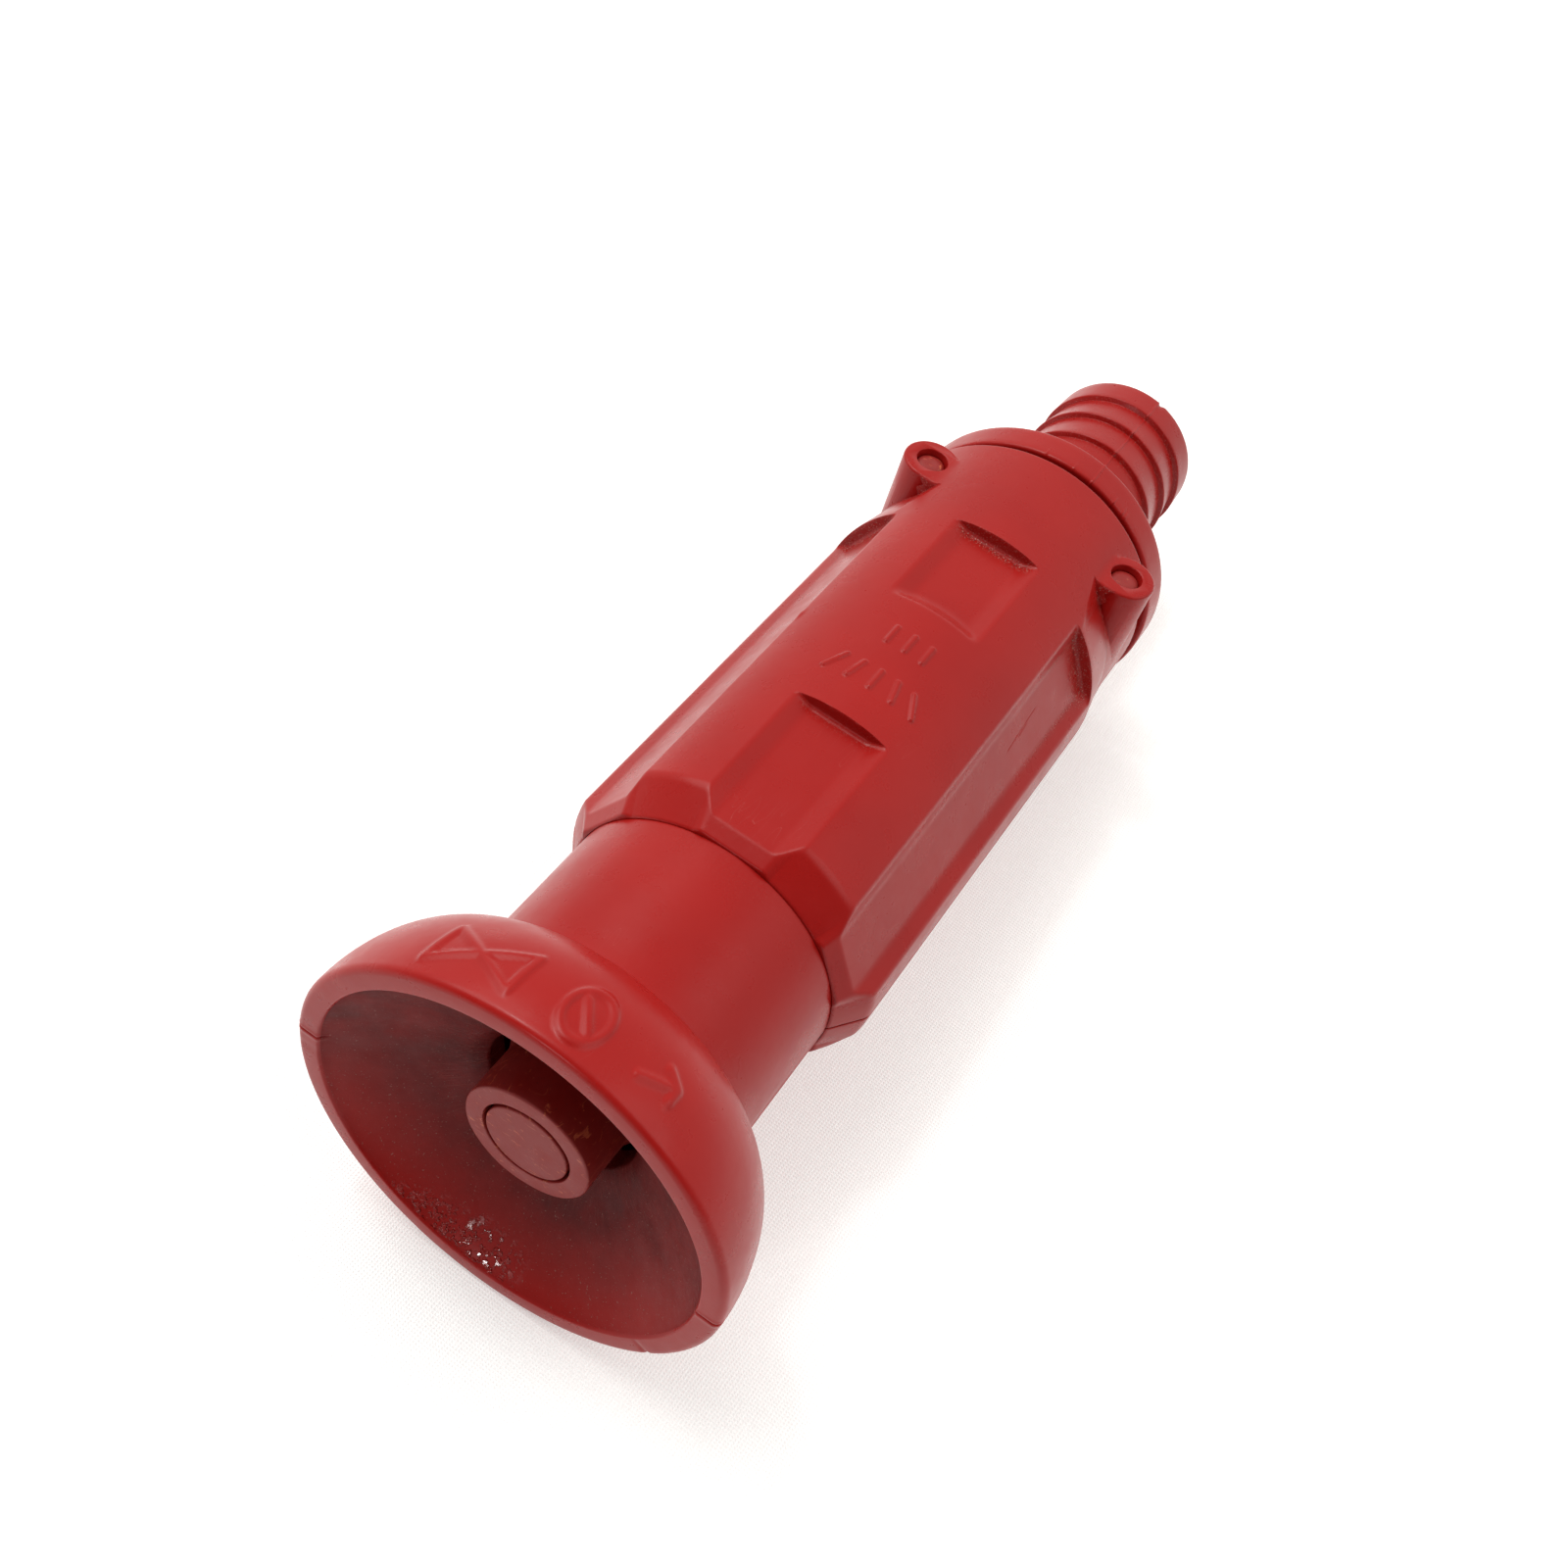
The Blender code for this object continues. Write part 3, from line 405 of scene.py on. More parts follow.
def makePlain(name, base, low, high, scale, metal=0.0, strength=0.1):
    shade = Shade(name)
    change = shade.noise(scale, 4.0, 0.6)
    darker = tuple(c * 0.72 for c in base)
    colour = shade.blend(shade.span(change, 0.3, 0.7), darker, base)
    rough = shade.span(shade.noise(scale * 2.3, 3.0), 0.3, 0.7, low, high)
    normal = shade.bump(shade.noise(scale * 8, 3.0), strength, 0.00008)
    return shade.finish(colour, rough, normal, Metallic=metal)


redPlastic = makeRedPlastic()
shadedBowlPlastic = makeShadedBowlPlastic()
plugPlastic = makePlugPlastic()
innerPlastic = makePlain("inner red plastic", finishes["innerBase"], 0.40, 0.55, 180.0)
acetal = makePlain("white acetal", finishes["acetal"], 0.35, 0.5, 150.0)
steel = makePlain("ground steel", finishes["steel"], 0.18, 0.35, 400.0, 1.0)
rubber = makePlain("black rubber", finishes["rubber"], 0.55, 0.75, 500.0, 0.0, 0.3)
print("finishes made")


bell = {
    "rimRadius": 31.0,
    "rimInner": 27.8,
    "outerEdge": 1.1,
    "innerEdge": 0.7,
    "shoulderLength": 18.4,
    "neckRadius": 20.2,
    "neckFillet": 2.4,
    "cupDepth": 11.3,
    "cupPower": 1.3,
    "throatRadius": 11.0,
    "neckEnd": 57.0,
    "sleeveRadius": 17.6,
    "sleeveBore": 14.3,
    "sleeveEnd": 71.6,
    "ringGroove": (63.0, 68.6, 16.0),
    "chamber": (19.0, 26.0, 16.5),
    "throatEnd": 15.0,
    "markHeight": 0.33,
    "markWidth": 1.05,
    "markEdge": 0.62,
    "partingDepth": 0.14,
}


def bellOutline():
    grooveStart, grooveEnd, grooveRadius = bell["ringGroove"]
    chamberStart, chamberEnd, chamberRadius = bell["chamber"]
    foot = bell["neckRadius"] + 0.3
    tall = bell["rimRadius"] - foot
    corners = [(0.0, bell["rimInner"], bell["innerEdge"]), (0.0, bell["rimRadius"], bell["outerEdge"])]
    for step in range(2, 60):
        share = math.sin(math.pi / 2 * step / 60)
        height = (1.0 - share**2.15) ** (1 / 1.8)
        if foot + tall * height < bell["neckRadius"] + 2.6:
            break
        corners.append((1.2 + (bell["shoulderLength"] - 1.2) * share, foot + tall * height, 0.0))
    corners += [
        (bell["shoulderLength"], bell["neckRadius"], bell["neckFillet"]),
        (30.0, bell["neckRadius"], 0.0),
        (40.0, bell["neckRadius"], 0.0),
        (bell["neckEnd"], bell["neckRadius"], 0.4),
        (bell["neckEnd"] + 1.0, bell["sleeveRadius"], 0.0),
        (grooveStart, bell["sleeveRadius"], 0.0),
        (grooveStart, grooveRadius, 0.0),
        (grooveEnd, grooveRadius, 0.0),
        (grooveEnd, bell["sleeveRadius"], 0.0),
        (bell["sleeveEnd"], bell["sleeveRadius"], 0.4),
        (bell["sleeveEnd"], bell["sleeveBore"], 0.0),
        (chamberEnd + 2.0, bell["sleeveBore"], 0.0),
        (chamberEnd, chamberRadius, 0.0),
        (chamberStart, chamberRadius, 1.0),
        (bell["throatEnd"], bell["throatRadius"], 0.4),
        (11.9, bell["throatRadius"], 0.8),
    ]
    drop = bell["rimInner"] - bell["throatRadius"]
    for step in range(29, 0, -1):
        share = step / 30
        radius = bell["rimInner"] - drop * share ** bell["cupPower"]
        if share > 0.96:
            continue
        corners.append((bell["cupDepth"] * share, radius, 0.0))
    return roundCorners(corners, 6)


def bellMarks(behind, arc):
    # Raised marks on the shoulder: a barred ring, a valve sign and an arrow.
    ring = ringReach(behind, arc, (6.1, -2.4), 3.7, 2.7)
    lines = [
        ((4.2, -3.6), (8.0, -1.2)),
        ((3.0, 6.0), (9.2, 6.0)),
        ((3.0, 6.0), (9.2, 17.2)),
        ((9.2, 6.0), (3.0, 17.2)),
        ((3.0, 17.2), (9.2, 17.2)),
        ((4.6, -10.4), (6.9, -14.9)),
        ((6.9, -14.9), (4.9, -14.7)),
        ((6.9, -14.9), (8.2, -13.0)),
    ]
    return np.minimum(ring, strokeReach(behind, arc, lines))


def bellRelief(behind, radius, angle):
    arc = np.radians(angle) * 30.2
    outside = (radius > 20.3) & ((behind > 0.7) | (radius > 30.4)) & (behind < 18.2)
    outside = outside & (radius > 27.9 - 20 * (behind > 9))
    half = bell["markWidth"] / 2
    soft = bell["markEdge"] / 2
    push = bell["markHeight"] * (1 - fade(half - soft, half + soft, bellMarks(behind, arc))) * outside
    # The mould's parting line crosses the rim and runs along both sides.
    shown = (behind < 45) & ((radius > 20.0) & ((behind < 0.8) | (radius > 29.0) | (behind > 11.5)))
    for side in (-90.0, 90.0):
        across = np.abs(wrapAngle(angle - side)) * math.pi / 180 * radius
        push = push - bell["partingDepth"] * np.exp(-((across / 0.16) ** 2)) * shown
        push = push + 0.05 * np.exp(-(((across - 0.5) / 0.3) ** 2)) * shown
    nick = np.exp(-((wrapAngle(angle + 126.0) / 0.9) ** 2) - ((radius - 30.6) / 0.8) ** 2) * (behind < 2.0)
    scar = np.exp(-((wrapAngle(angle - 96.0) / 0.8) ** 2) - ((radius - 29.2) / 1.0) ** 2) * (behind < 1.0)
    return push - 0.35 * nick - 0.22 * scar


def makeBell():
    zones = [(0.0, 33.0, 0.42), (-90.0, 1.0, 0.12), (90.0, 1.0, 0.12), (-126.0, 1.5, 0.3)]
    angles = spacing(-180.0, 180.0, 2.2, zones)[:-1]
    outline = bellOutline()
    fine = []
    for index, point in enumerate(outline):
        fine.append(point)
        ahead = outline[(index + 1) % len(outline)]
        length = float(np.linalg.norm(ahead - point))
        onShoulder = min(point[1], ahead[1]) > 24.0 and 0.5 < point[0] < 13 and index < len(outline) // 2
        parts = int(length / 0.24) if onShoulder else int(length / 2.6)  # finer where the marks are
        for part in range(1, parts):
            fine.append(point + (ahead - point) * part / parts)
    outline = np.array(fine)
    piece = turnProfile("bellAndNeck", outline, angles, bellRelief, bellDust, sharpAngle=60.0)
    piece.data.materials.append(redPlastic)
    piece.data.materials.append(shadedBowlPlastic)
    centres = np.zeros(len(piece.data.polygons) * 3)
    piece.data.polygons.foreach_get("center", centres)
    centres = centres.reshape(-1, 3)
    behind = (rimX - centres[:, 0]) / mm
    radius = np.hypot(centres[:, 1], centres[:, 2] - axisHeight) / mm
    drop = bell["rimInner"] - bell["throatRadius"]
    share = np.clip(behind / bell["cupDepth"], 0, 1)
    wall = bell["rimInner"] - drop * share ** bell["cupPower"]
    cup = (behind > 0.45) & (radius < wall + 0.35)
    throat = (behind > 11.0) & (radius < 16.9)
    inside = (behind < 30.0) & (cup | throat)
    piece.data.polygons.foreach_set("material_index", inside.astype(np.int32))
    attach(piece, "bell")
    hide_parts("bell_sleeve")
    return piece


def bellDust(behind, radius, angle):
    # A little grit where the neck enters the grip.
    joint = np.exp(-(((behind - 41.2) / 0.8) ** 2)) * (radius < 21) * 0.35
    return {"dust": joint}


makeBell()
print("bell and neck made")


grip = {
    "radius": 23.9,
    "front": 42.2,
    "frontRadius": 20.5,
    "coneSlope": 0.68,
    "flatSlope": 0.522,
    "end": 137.6,
    "fluteFloor": 21.7,
    "floorHalf": 4.6,
    "edgeHalf": 7.2,
    "edgeHeight": 22.8,
    "frontFluteEnd": 68.7,
    "fluteEnd": 115.4,
    "recessRamp": (94.4, 97.3),
    "endFillet": 0.85,
    "floorFillet": 0.30,
    "edgeFillet": 0.42,
    "boss": (129.1, 17.7, 4.6, 18.9),
    "pinHole": 2.5,
    "pocketStart": 115.7,
    "pocketWall": 124.4,
    "pocketSlope": 0.165,
    "pocketEdge": 45.0,
    "pocketFlank": 0.28,
    "padAngle": 54.5,
    "markHeight": 0.36,
    "markWidth": 0.72,
    "markEdge": 0.42,
    "partingGap": 0.14,
    "mouth": 20.29,
    "chambers": (
        (121.8, 12.8),
        (105.3, 18.2),
        (102.3, 15.8),
        (97.7, 19.3),
        (94.7, 14.3),
        (62.6, 19.9),
        (45.0, 20.5),
    ),
    "guideSlot": (53.7, 73.9, 22.2, 2.0),
}


def innerWall():
    # The stepped bore as (behind, radius), from the rear to the mouth: each chamber is (front, radius).
    wall = []
    rear = grip["end"]
    for front, radius in grip["chambers"]:
        wall += [(rear, radius), (front, radius)]
        rear = front
    return np.array(wall + [(rear - 0.4, grip["mouth"]), (grip["front"], grip["mouth"])])


def endRise(behind, end):
    # The rounded corner and the steep wall that close a flute.
    curve = grip["endFillet"]
    along = np.clip((behind - end + curve) / curve, 0.0, 1.0)
    return curve * (1 - np.sqrt(1 - along**2)) + np.clip(behind - end + 0.1, 0.0, None) * 14


def fluteRadius(behind, away, broken):
    # away is the angle from the flute's own middle, in radians.
    slope = (grip["edgeHeight"] - grip["fluteFloor"]) / (grip["edgeHalf"] - grip["floorHalf"])
    floor = grip["fluteFloor"] / np.cos(away)
    side = (grip["fluteFloor"] - slope * grip["floorHalf"]) / (np.cos(away) - slope * np.sin(np.abs(away)))
    flute = softMax(floor, side, grip["floorFillet"])
    rear = flute + endRise(behind, grip["fluteEnd"])
    if not broken:
        return rear
    start, end = grip["recessRamp"]
    high = grip["radius"] + 0.1
    ramp = high - (behind - start) * (high - grip["fluteFloor"]) / (end - start)
    rear = softMax(rear, ramp, 1.3)
    front = flute + endRise(behind, grip["frontFluteEnd"])
    return np.where(behind < 82.0, front, rear)


def crownRadius(behind, away):
    # The front chamfer: flat in front of each flute and conical in front of each land.
    reach = behind - grip["front"]
    share = fade(math.radians(12.0), math.radians(17.0), np.abs(away))
    flat = (grip["frontRadius"] + reach * grip["flatSlope"]) / np.cos(away)
    cone = grip["frontRadius"] + reach * grip["coneSlope"]
    return flat * (1 - share) + cone * share, 0.16 + 0.34 * share


def pocketRadius(behind, side):
    # A lowered patch in front of each boss, closed at the rear by the pad that carries it.
    wide = grip["radius"]
    deep = np.minimum(behind, grip["pocketWall"]) - grip["pocketStart"]
    floor = wide - grip["pocketSlope"] * deep
    bound = np.maximum(grip["pocketEdge"] - (behind - 116.0) * 1.2, 35.2)
    flank = wide - grip["pocketFlank"] * np.radians(side - bound) * wide
    pocket = softMax(floor, flank, 0.08)
    padFront = 22.3 + (behind - grip["pocketWall"] + 0.05) * 14
    padEdge = np.where(behind < grip["boss"][0], 47.4, grip["padAngle"])
    padSide = 22.3 + np.radians(padEdge - side) * wide * 4
    return np.maximum(pocket, np.minimum(padFront, padSide))


def bossApron(behind, side, radius):
    # Blends the flat top of a boss into the grip, and carries it forward to the pocket's corner.
    middle, across, reach, top = grip["boss"]
    sideways = radius * np.sin(np.radians(side))
    away = np.hypot(behind - middle, sideways - across)
    bend = np.radians(np.minimum(side, 60.0))
    edge = np.clip(1 - (behind - grip["pocketWall"]) / 0.45, 0.0, 1.0)
    web = (behind > grip["pocketWall"]) & (behind < middle) & (side < 43.1)
    level = (top - 0.02 - 0.45 * (1 - np.sqrt(1 - edge**2)) * web) / np.cos(bend)
    level = np.where(web, level, np.minimum(level, 24.3))
    near = (away < reach - 0.3) & (side < 48.0)
    return np.where(web | near, softMax(radius, level, 0.8), radius)


def sprayMarks(behind, arc):
    # Five spreading strokes for spray, and three straight ones for jet.
    strokes = []
    for index in range(5):
        lean = (index - 2) * 0.32
        middle = (index - 2) * 3.1
        strokes.append(((79.0, middle - lean * 1.2), (75.3, middle + lean * 1.5)))
    for index in range(3):
        side = -0.4 + (index - 1) * 2.9
        strokes.append(((88.0, side), (84.6, side)))
    return strokeReach(behind, arc, strokes)


def gripRadius(behind, angle, marked):
    wide = grip["radius"]
    radius = np.full(np.broadcast(behind, angle).shape, wide)
    crown = np.full(radius.shape, wide + 9.0)
    crownSoft = np.full(radius.shape, 0.3)
    for number in range(6):
        away = wrapAngle(angle - 60.0 * number)
        near = np.abs(away) <= 30.0
        bent = np.radians(np.clip(away, -30.0, 30.0))
        flute = fluteRadius(behind, np.clip(bent, -0.5, 0.5), number % 3 == 0)
        radius = np.where(near, softMin(radius, flute, grip["edgeFillet"]), radius)
        height, soft = crownRadius(behind, bent)
        crown = np.where(near, height, crown)
        crownSoft = np.where(near, soft, crownSoft)
    side = np.abs(wrapAngle(angle))
    side = np.minimum(side, 180.0 - side)
    rearPart = behind > grip["pocketStart"] - 0.5
    radius = np.where(rearPart, softMin(radius, pocketRadius(behind, side), 0.08), radius)
    radius = np.where(behind > 120.0, bossApron(behind, side, radius), radius)
    radius = softMin(radius, crown, crownSoft)
    tail = np.clip((behind - grip["end"] + 0.5) / 0.5, 0.0, 1.0)
    radius = radius - 0.5 * (1 - np.sqrt(1 - tail**2))
    lip = np.clip((behind - grip["front"]) / 0.3, 0.0, 1.0)
    radius = radius - 0.2 * (1 - np.sqrt(1 - (1 - lip) ** 2))
    if marked:
        arc = np.radians(angle) * wide
        half = grip["markWidth"] / 2
        rise = 1 - fade(half - grip["markEdge"] / 2, half + grip["markEdge"] / 2, sprayMarks(behind, arc))
        radius = radius + grip["markHeight"] * rise
        # A scratch in the right-hand flute and a burr on the left-hand land.
        lines = [((100.7, -23.2), (91.2, -24.4)), ((97.5, -23.9), (94.8, -24.4))]
        scratch = strokeReach(behind, arc, lines)
        radius = radius - 0.07 * np.exp(-((scratch / 0.13) ** 2))
        burr = np.hypot((behind - 86.0) / 1.1, (arc - 17.3) / 0.35)
        radius = radius + 0.16 * np.exp(-(burr**2))
    return radius


def gripDust(behind, angle):
    # Where grit collects: the corners at the flutes' ends, and the creases in front of the bosses.
    dust = np.zeros(np.broadcast(behind, angle).shape)
    for number in range(6):
        away = np.abs(wrapAngle(angle - 60.0 * number))
        inFlute = 1 - fade(13.5, 17.0, away)
        ends = [grip["fluteEnd"]] + ([grip["frontFluteEnd"]] if number % 3 == 0 else [])
        for end in ends:
            corner = np.exp(-(((behind - end + 0.9) / 0.8) ** 2))
            weight = 0.9 if end == grip["fluteEnd"] else 0.2
            dust = np.maximum(dust, weight * corner * inFlute)
        if number % 3 != 0:
            ahead = behind < grip["fluteEnd"]
            edge = np.exp(-(((away - 12.0) / 1.1) ** 2)) * fade(84.0, 112.0, behind) * ahead
            spread = np.exp(-(((behind - grip["fluteEnd"] + 1.5) / 2.6) ** 2)) * ahead
            dust = np.maximum(dust, np.maximum(0.6 * edge, 0.55 * spread * inFlute))
    side = np.abs(wrapAngle(angle))
    side = np.minimum(side, 180.0 - side)
    crease = np.exp(-(((behind - grip["pocketWall"] + 0.35) / 0.5) ** 2)) * fade(37.0, 42.0, side)
    return np.maximum(dust, 0.8 * crease)


def makeShell(name, node, upper):
    flip = 1.0 if upper else -1.0
    gap = grip["partingGap"]
    stations = spacing(
        grip["front"],
        grip["end"],
        1.7,
        [
            (42.35, 0.2, 0.07),
            (45.2, 2.6, 0.15),
            (68.35, 0.5, 0.10),
            (68.72, 0.12, 0.03),
            (77.1, 2.6, 0.20 if upper else 2.0),
            (86.3, 2.4, 0.20 if upper else 2.0),
            (95.9, 4.6, 0.34),
            (115.0, 0.5, 0.10),
            (115.42, 0.12, 0.03),
            (120.5, 3.4, 0.4),
            (124.55, 0.28, 0.04),
            (128.5, 3.5, 0.4),
            (137.3, 0.35, 0.10),
        ],
    )
    zones = [(-89.0, 1.0, 0.28), (89.0, 1.0, 0.28), (0.0, 19.5, 0.55 if upper else 2.0)]
    for middle in (-60.0, 0.0, 60.0):
        for side in (-1, 1):
            zones.append((middle + side * 17.4, 0.7, 0.16))
            zones.append((middle + side * 12.0, 1.2, 0.30))
    for side in (-1, 1):
        zones += [(side * 40.0, 5.5, 0.45), (side * 47.4, 0.5, 0.16), (side * grip["padAngle"], 0.8, 0.22)]
    if upper:
        zones.append((-57.0, 1.9, 0.2))
    columns = spacing(-90.0, 90.0, 1.6, zones)
    behind, angle = np.meshgrid(stations, columns, indexing="ij")
    around = angle if upper else 180.0 - angle
    radius = gripRadius(behind, around, upper)
    dust = gripDust(behind, around)
    edge = np.clip(1 - (90.0 - np.abs(angle)) / 1.1, 0.0, 1.0)
    radius = radius - 0.18 * edge**2
    inner = innerWall()
    allBehind = np.vstack([behind, inner[:, :1] + 0 * columns])
    allRadius = np.vstack([radius, inner[:, 1:] + 0 * columns])
    allAngle = np.vstack([angle, 0 * inner[:, :1] + columns])
    allDust = np.vstack([dust, 0 * inner[:, :1] + 0 * columns])
    # The two outermost columns lie in the parting plane.
    limit = 90.0 - np.degrees(np.arcsin(gap / allRadius))
    allAngle = np.clip(allAngle, -limit, limit)
    points = place(allBehind, allRadius, allAngle)
    points[..., 2] = axisHeight + flip * (points[..., 2] - axisHeight)
    rows, cols = allBehind.shape
    faces = gridFaces(rows, cols, True, False)
    faces.append([row * cols for row in range(rows)])
    faces.append([row * cols + cols - 1 for row in reversed(range(rows))])
    shell = makePiece(name, points.reshape(-1, 3), faces, 50.0, {"dust": allDust})
    addBosses(shell, flip, gap)
    shell.data.materials.clear()
    shell.data.materials.append(redPlastic)
    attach(shell, "grip")
    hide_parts(node)
    return shell


def uprightTurn(name, outline, side, behind, flip, steps=48):
    # A closed solid turned about an upright line: outline is (height, radius), low end first.
    points = []
    for height, radius in outline:
        for step in range(steps):
            turn = step * math.tau / steps
            x = rimX - behind * mm + radius * mm * math.cos(turn)
            y = side * mm + radius * mm * math.sin(turn)
            points.append((x, y, axisHeight + flip * height * mm))
    faces = gridFaces(len(outline), steps, False, True)
    faces.append(list(range(steps)))
    faces.append([(len(outline) - 1) * steps + step for step in reversed(range(steps))])
    return makePiece(name, points, faces)


def applyChanges(piece):
    graph = bpy.context.evaluated_depsgraph_get()
    mesh = bpy.data.meshes.new_from_object(piece.evaluated_get(graph))
    piece.modifiers.clear()
    old = piece.data
    piece.data = mesh
    bpy.data.meshes.remove(old)


def joinParts(name, parts):
    shape = bmesh.new()
    for part in parts:
        shape.from_mesh(part.data)
        bpy.data.objects.remove(part)
    mesh = bpy.data.meshes.new(name)
    shape.to_mesh(mesh)
    shape.free()
    piece = bpy.data.objects.new(name, mesh)
    bpy.context.scene.collection.objects.link(piece)
    return piece


def cutWith(piece, cutter, operation):
    change = piece.modifiers.new(operation.title(), "BOOLEAN")
    change.operation = operation
    change.object = cutter
    change.solver = "EXACT"
    bpy.context.view_layer.update()
    applyChanges(piece)
    bpy.data.objects.remove(cutter)


def addBosses(shell, flip, gap):
    behind, side, radius, top = grip["boss"]
    edge = 0.45
    rounded = [(gap, radius)]
    for step in range(6):
        turn = step * math.pi / 10
        rounded.append((top - edge + edge * math.sin(turn), radius - edge + edge * math.cos(turn)))
    bosses = [uprightTurn("boss", rounded, sign * side, behind, flip) for sign in (-1, 1)]
    cutWith(shell, joinParts("bosses", bosses), "UNION")
    hole = grip["pinHole"]
    bevel = [(-1.0, hole), (top - 0.22, hole), (top - 0.06, hole + 0.05), (top + 0.2, hole + 0.31)]
    holes = [uprightTurn("hole", bevel, sign * side, behind, flip) for sign in (-1, 1)]
    slotLow, slotHigh, wide, tall = grip["guideSlot"]
    corners = []
    for front in (slotLow, slotHigh):
        for y, z in ((-wide, -tall), (wide, -tall), (wide, tall), (-wide, tall)):
            corners.append((rimX - front * mm, y * mm, axisHeight + z * mm))
    box = [(0, 1, 2, 3), (7, 6, 5, 4), (0, 4, 5, 1), (1, 5, 6, 2), (2, 6, 7, 3), (3, 7, 4, 0)]
    holes.append(makePiece("guideSlot", corners, box))
    cutWith(shell, joinParts("holes", holes), "DIFFERENCE")
    shell.data.shade_smooth()
    shell.data.set_sharp_from_angle(angle=math.radians(50))


makeShell("upperGripShell", "upper_grip_shell", True)
makeShell("lowerGripShell", "lower_grip_shell", False)
print("grip shells made")


pin = {"radius": 2.24, "halfLength": 18.2, "dome": 0.5, "dimple": 0.2}


def makePin(name, node, side):
    outline = []
    top = pin["halfLength"]
    for step in range(9):
        share = step / 8
        radius = pin["radius"] * math.cos(share * math.pi / 2 * 0.94)
        height = top - pin["dome"] + pin["dome"] * math.sin(share * math.pi / 2)
        height -= pin["dimple"] * fade(0.55, 0.0, radius / pin["radius"])
        outline.append((float(height), radius))
    outline = [(-height, radius) for height, radius in reversed(outline)] + outline
    piece = uprightTurn(name, outline, side * grip["boss"][1], grip["boss"][0], 1.0)
    piece.data.materials.append(plugPlastic)
    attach(piece, "grip")
    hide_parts(node)


makePin("leftPin", "left_rivet", 1)
makePin("rightPin", "right_rivet", -1)
print("pins made")


tail = {
    "spigotStart": 103.5,
    "spigotRadius": 11.0,
    "waterStart": 8.0,
    "sealGroove": (108.0, 110.4, 9.1),
    "collar": (116.5, 119.9, 17.5),
    "flange": (139.8, 145.7, 23.06),
    "flangeEdge": 0.6,
    "neck": 12.5,
    "root": 12.7,
    "barb": 13.58,
    "barbStarts": (162.4, 169.6, 176.2),
    "end": 182.3,
    "bore": 9.5,
    "flashAngle": -11.8,
    "flashHeight": 0.16,
    "flashWidth": 0.17,
    "burrs": ((9.5, 0.14), (-3.0, 0.12), (-23.5, 0.2), (-29.0, 0.16), (-31.0, 0.12), (142.0, 0.15)),
}


def tailOutline():
    front, back, wide = tail["flange"]
    spigot = tail["spigotRadius"]
    grooveStart, grooveEnd, grooveRadius = tail["sealGroove"]
    collarStart, collarEnd, collarRadius = tail["collar"]
    corners = [
        (tail["spigotStart"], tail["waterStart"], 0.0),
        (tail["spigotStart"], spigot, 0.4),
        (grooveStart, spigot, 0.0),
        (grooveStart, grooveRadius, 0.0),
        (grooveEnd, grooveRadius, 0.0),
        (grooveEnd, spigot, 0.0),
        (collarStart, spigot, 0.0),
        (collarStart, collarRadius, 0.4),
        (collarEnd, collarRadius, 0.4),
        (collarEnd, tail["neck"], 0.0),
        (front, tail["neck"], 0.5),
        (front, wide, tail["flangeEdge"]),
        (back, wide, 0.7),
        (back, tail["root"], 0.8),
        (back + 8.0, tail["root"], 0.0),
    ]
    starts = tail["barbStarts"]
    for index, start in enumerate(starts):
        corners.append((start, tail["root"], 0.12))
        corners.append((start + 0.35, tail["barb"], 0.35))
        if index < len(starts) - 1:
            corners.append((starts[index + 1] - 2.0, tail["root"] + 0.22, 0.0))
        else:
            corners.append((tail["end"], tail["barb"] - 0.25, 0.6))
    corners += [(tail["end"], tail["bore"], 0.5), (125.0, tail["bore"], 0.0)]
    corners.append((120.0, tail["waterStart"], 0.0))
    return roundCorners(corners, 5)


def tailRelief(behind, radius, angle):
    outside = (behind > 139.0) & (radius > 12.3)
    push = np.zeros(behind.shape)
    for middle in (tail["flashAngle"], tail["flashAngle"] + 180.0):
        across = wrapAngle(angle - middle) * math.pi / 180 * radius
        wander = 0.05 * np.sin(behind * 1.9) + 0.04 * np.sin(behind * 0.7 + 1.0)
        rise = tail["flashHeight"] * (0.75 + 0.25 * np.sin(behind * 2.6))
        push = push + rise * np.exp(-(((across - wander) / tail["flashWidth"]) ** 2)) * outside
    # Small burrs on the front edge of the flange, and a torn spot at the tail's end.
    onEdge = np.exp(-(((behind - 140.4) / 0.5) ** 2)) * (radius > 21.5)
    for middle, size in tail["burrs"]:
        across = wrapAngle(angle - middle) / 0.45
        push = push + 0.8 * size * np.exp(-(across**2)) * onEdge
    across = wrapAngle(angle - tail["flashAngle"] + 2.2) / 2.0
    torn = np.exp(-(across**2) - ((behind - tail["end"]) / 0.8) ** 2)
    return push - 0.45 * torn * (radius > 12.0)


def tailDust(behind, radius, angle):
    dust = np.zeros(behind.shape)
    for start in tail["barbStarts"]:
        dust = np.maximum(dust, np.exp(-(((behind - start + 0.3) / 0.7) ** 2)) * (radius > 12.0))
    return {"dust": 0.3 * dust}


def makeTail():
    middle = tail["flashAngle"]
    zones = [(middle, 1.6, 0.22), (middle + 180.0, 1.6, 0.22)]
    zones += [(spot, 1.0, 0.2) for spot in (9.5, -3.0, -23.5, -30.0, 142.0)]
    angles = spacing(-180.0, 180.0, 2.4, zones)[:-1]
    outline = tailOutline()
    fine = []
    for index, point in enumerate(outline):
        fine.append(point)
        ahead = outline[(index + 1) % len(outline)]
        shown = point[0] > 139 and ahead[0] > 139 and point[1] > 12
        parts = int(float(np.linalg.norm(ahead - point)) / (0.8 if shown else 5.0))
        for part in range(1, parts):
            fine.append(point + (ahead - point) * part / parts)
    piece = turnProfile("hoseTail", fine, angles, tailRelief, tailDust)
    piece.data.materials.append(redPlastic)
    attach(piece, "tail")
    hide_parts("hose_tail")


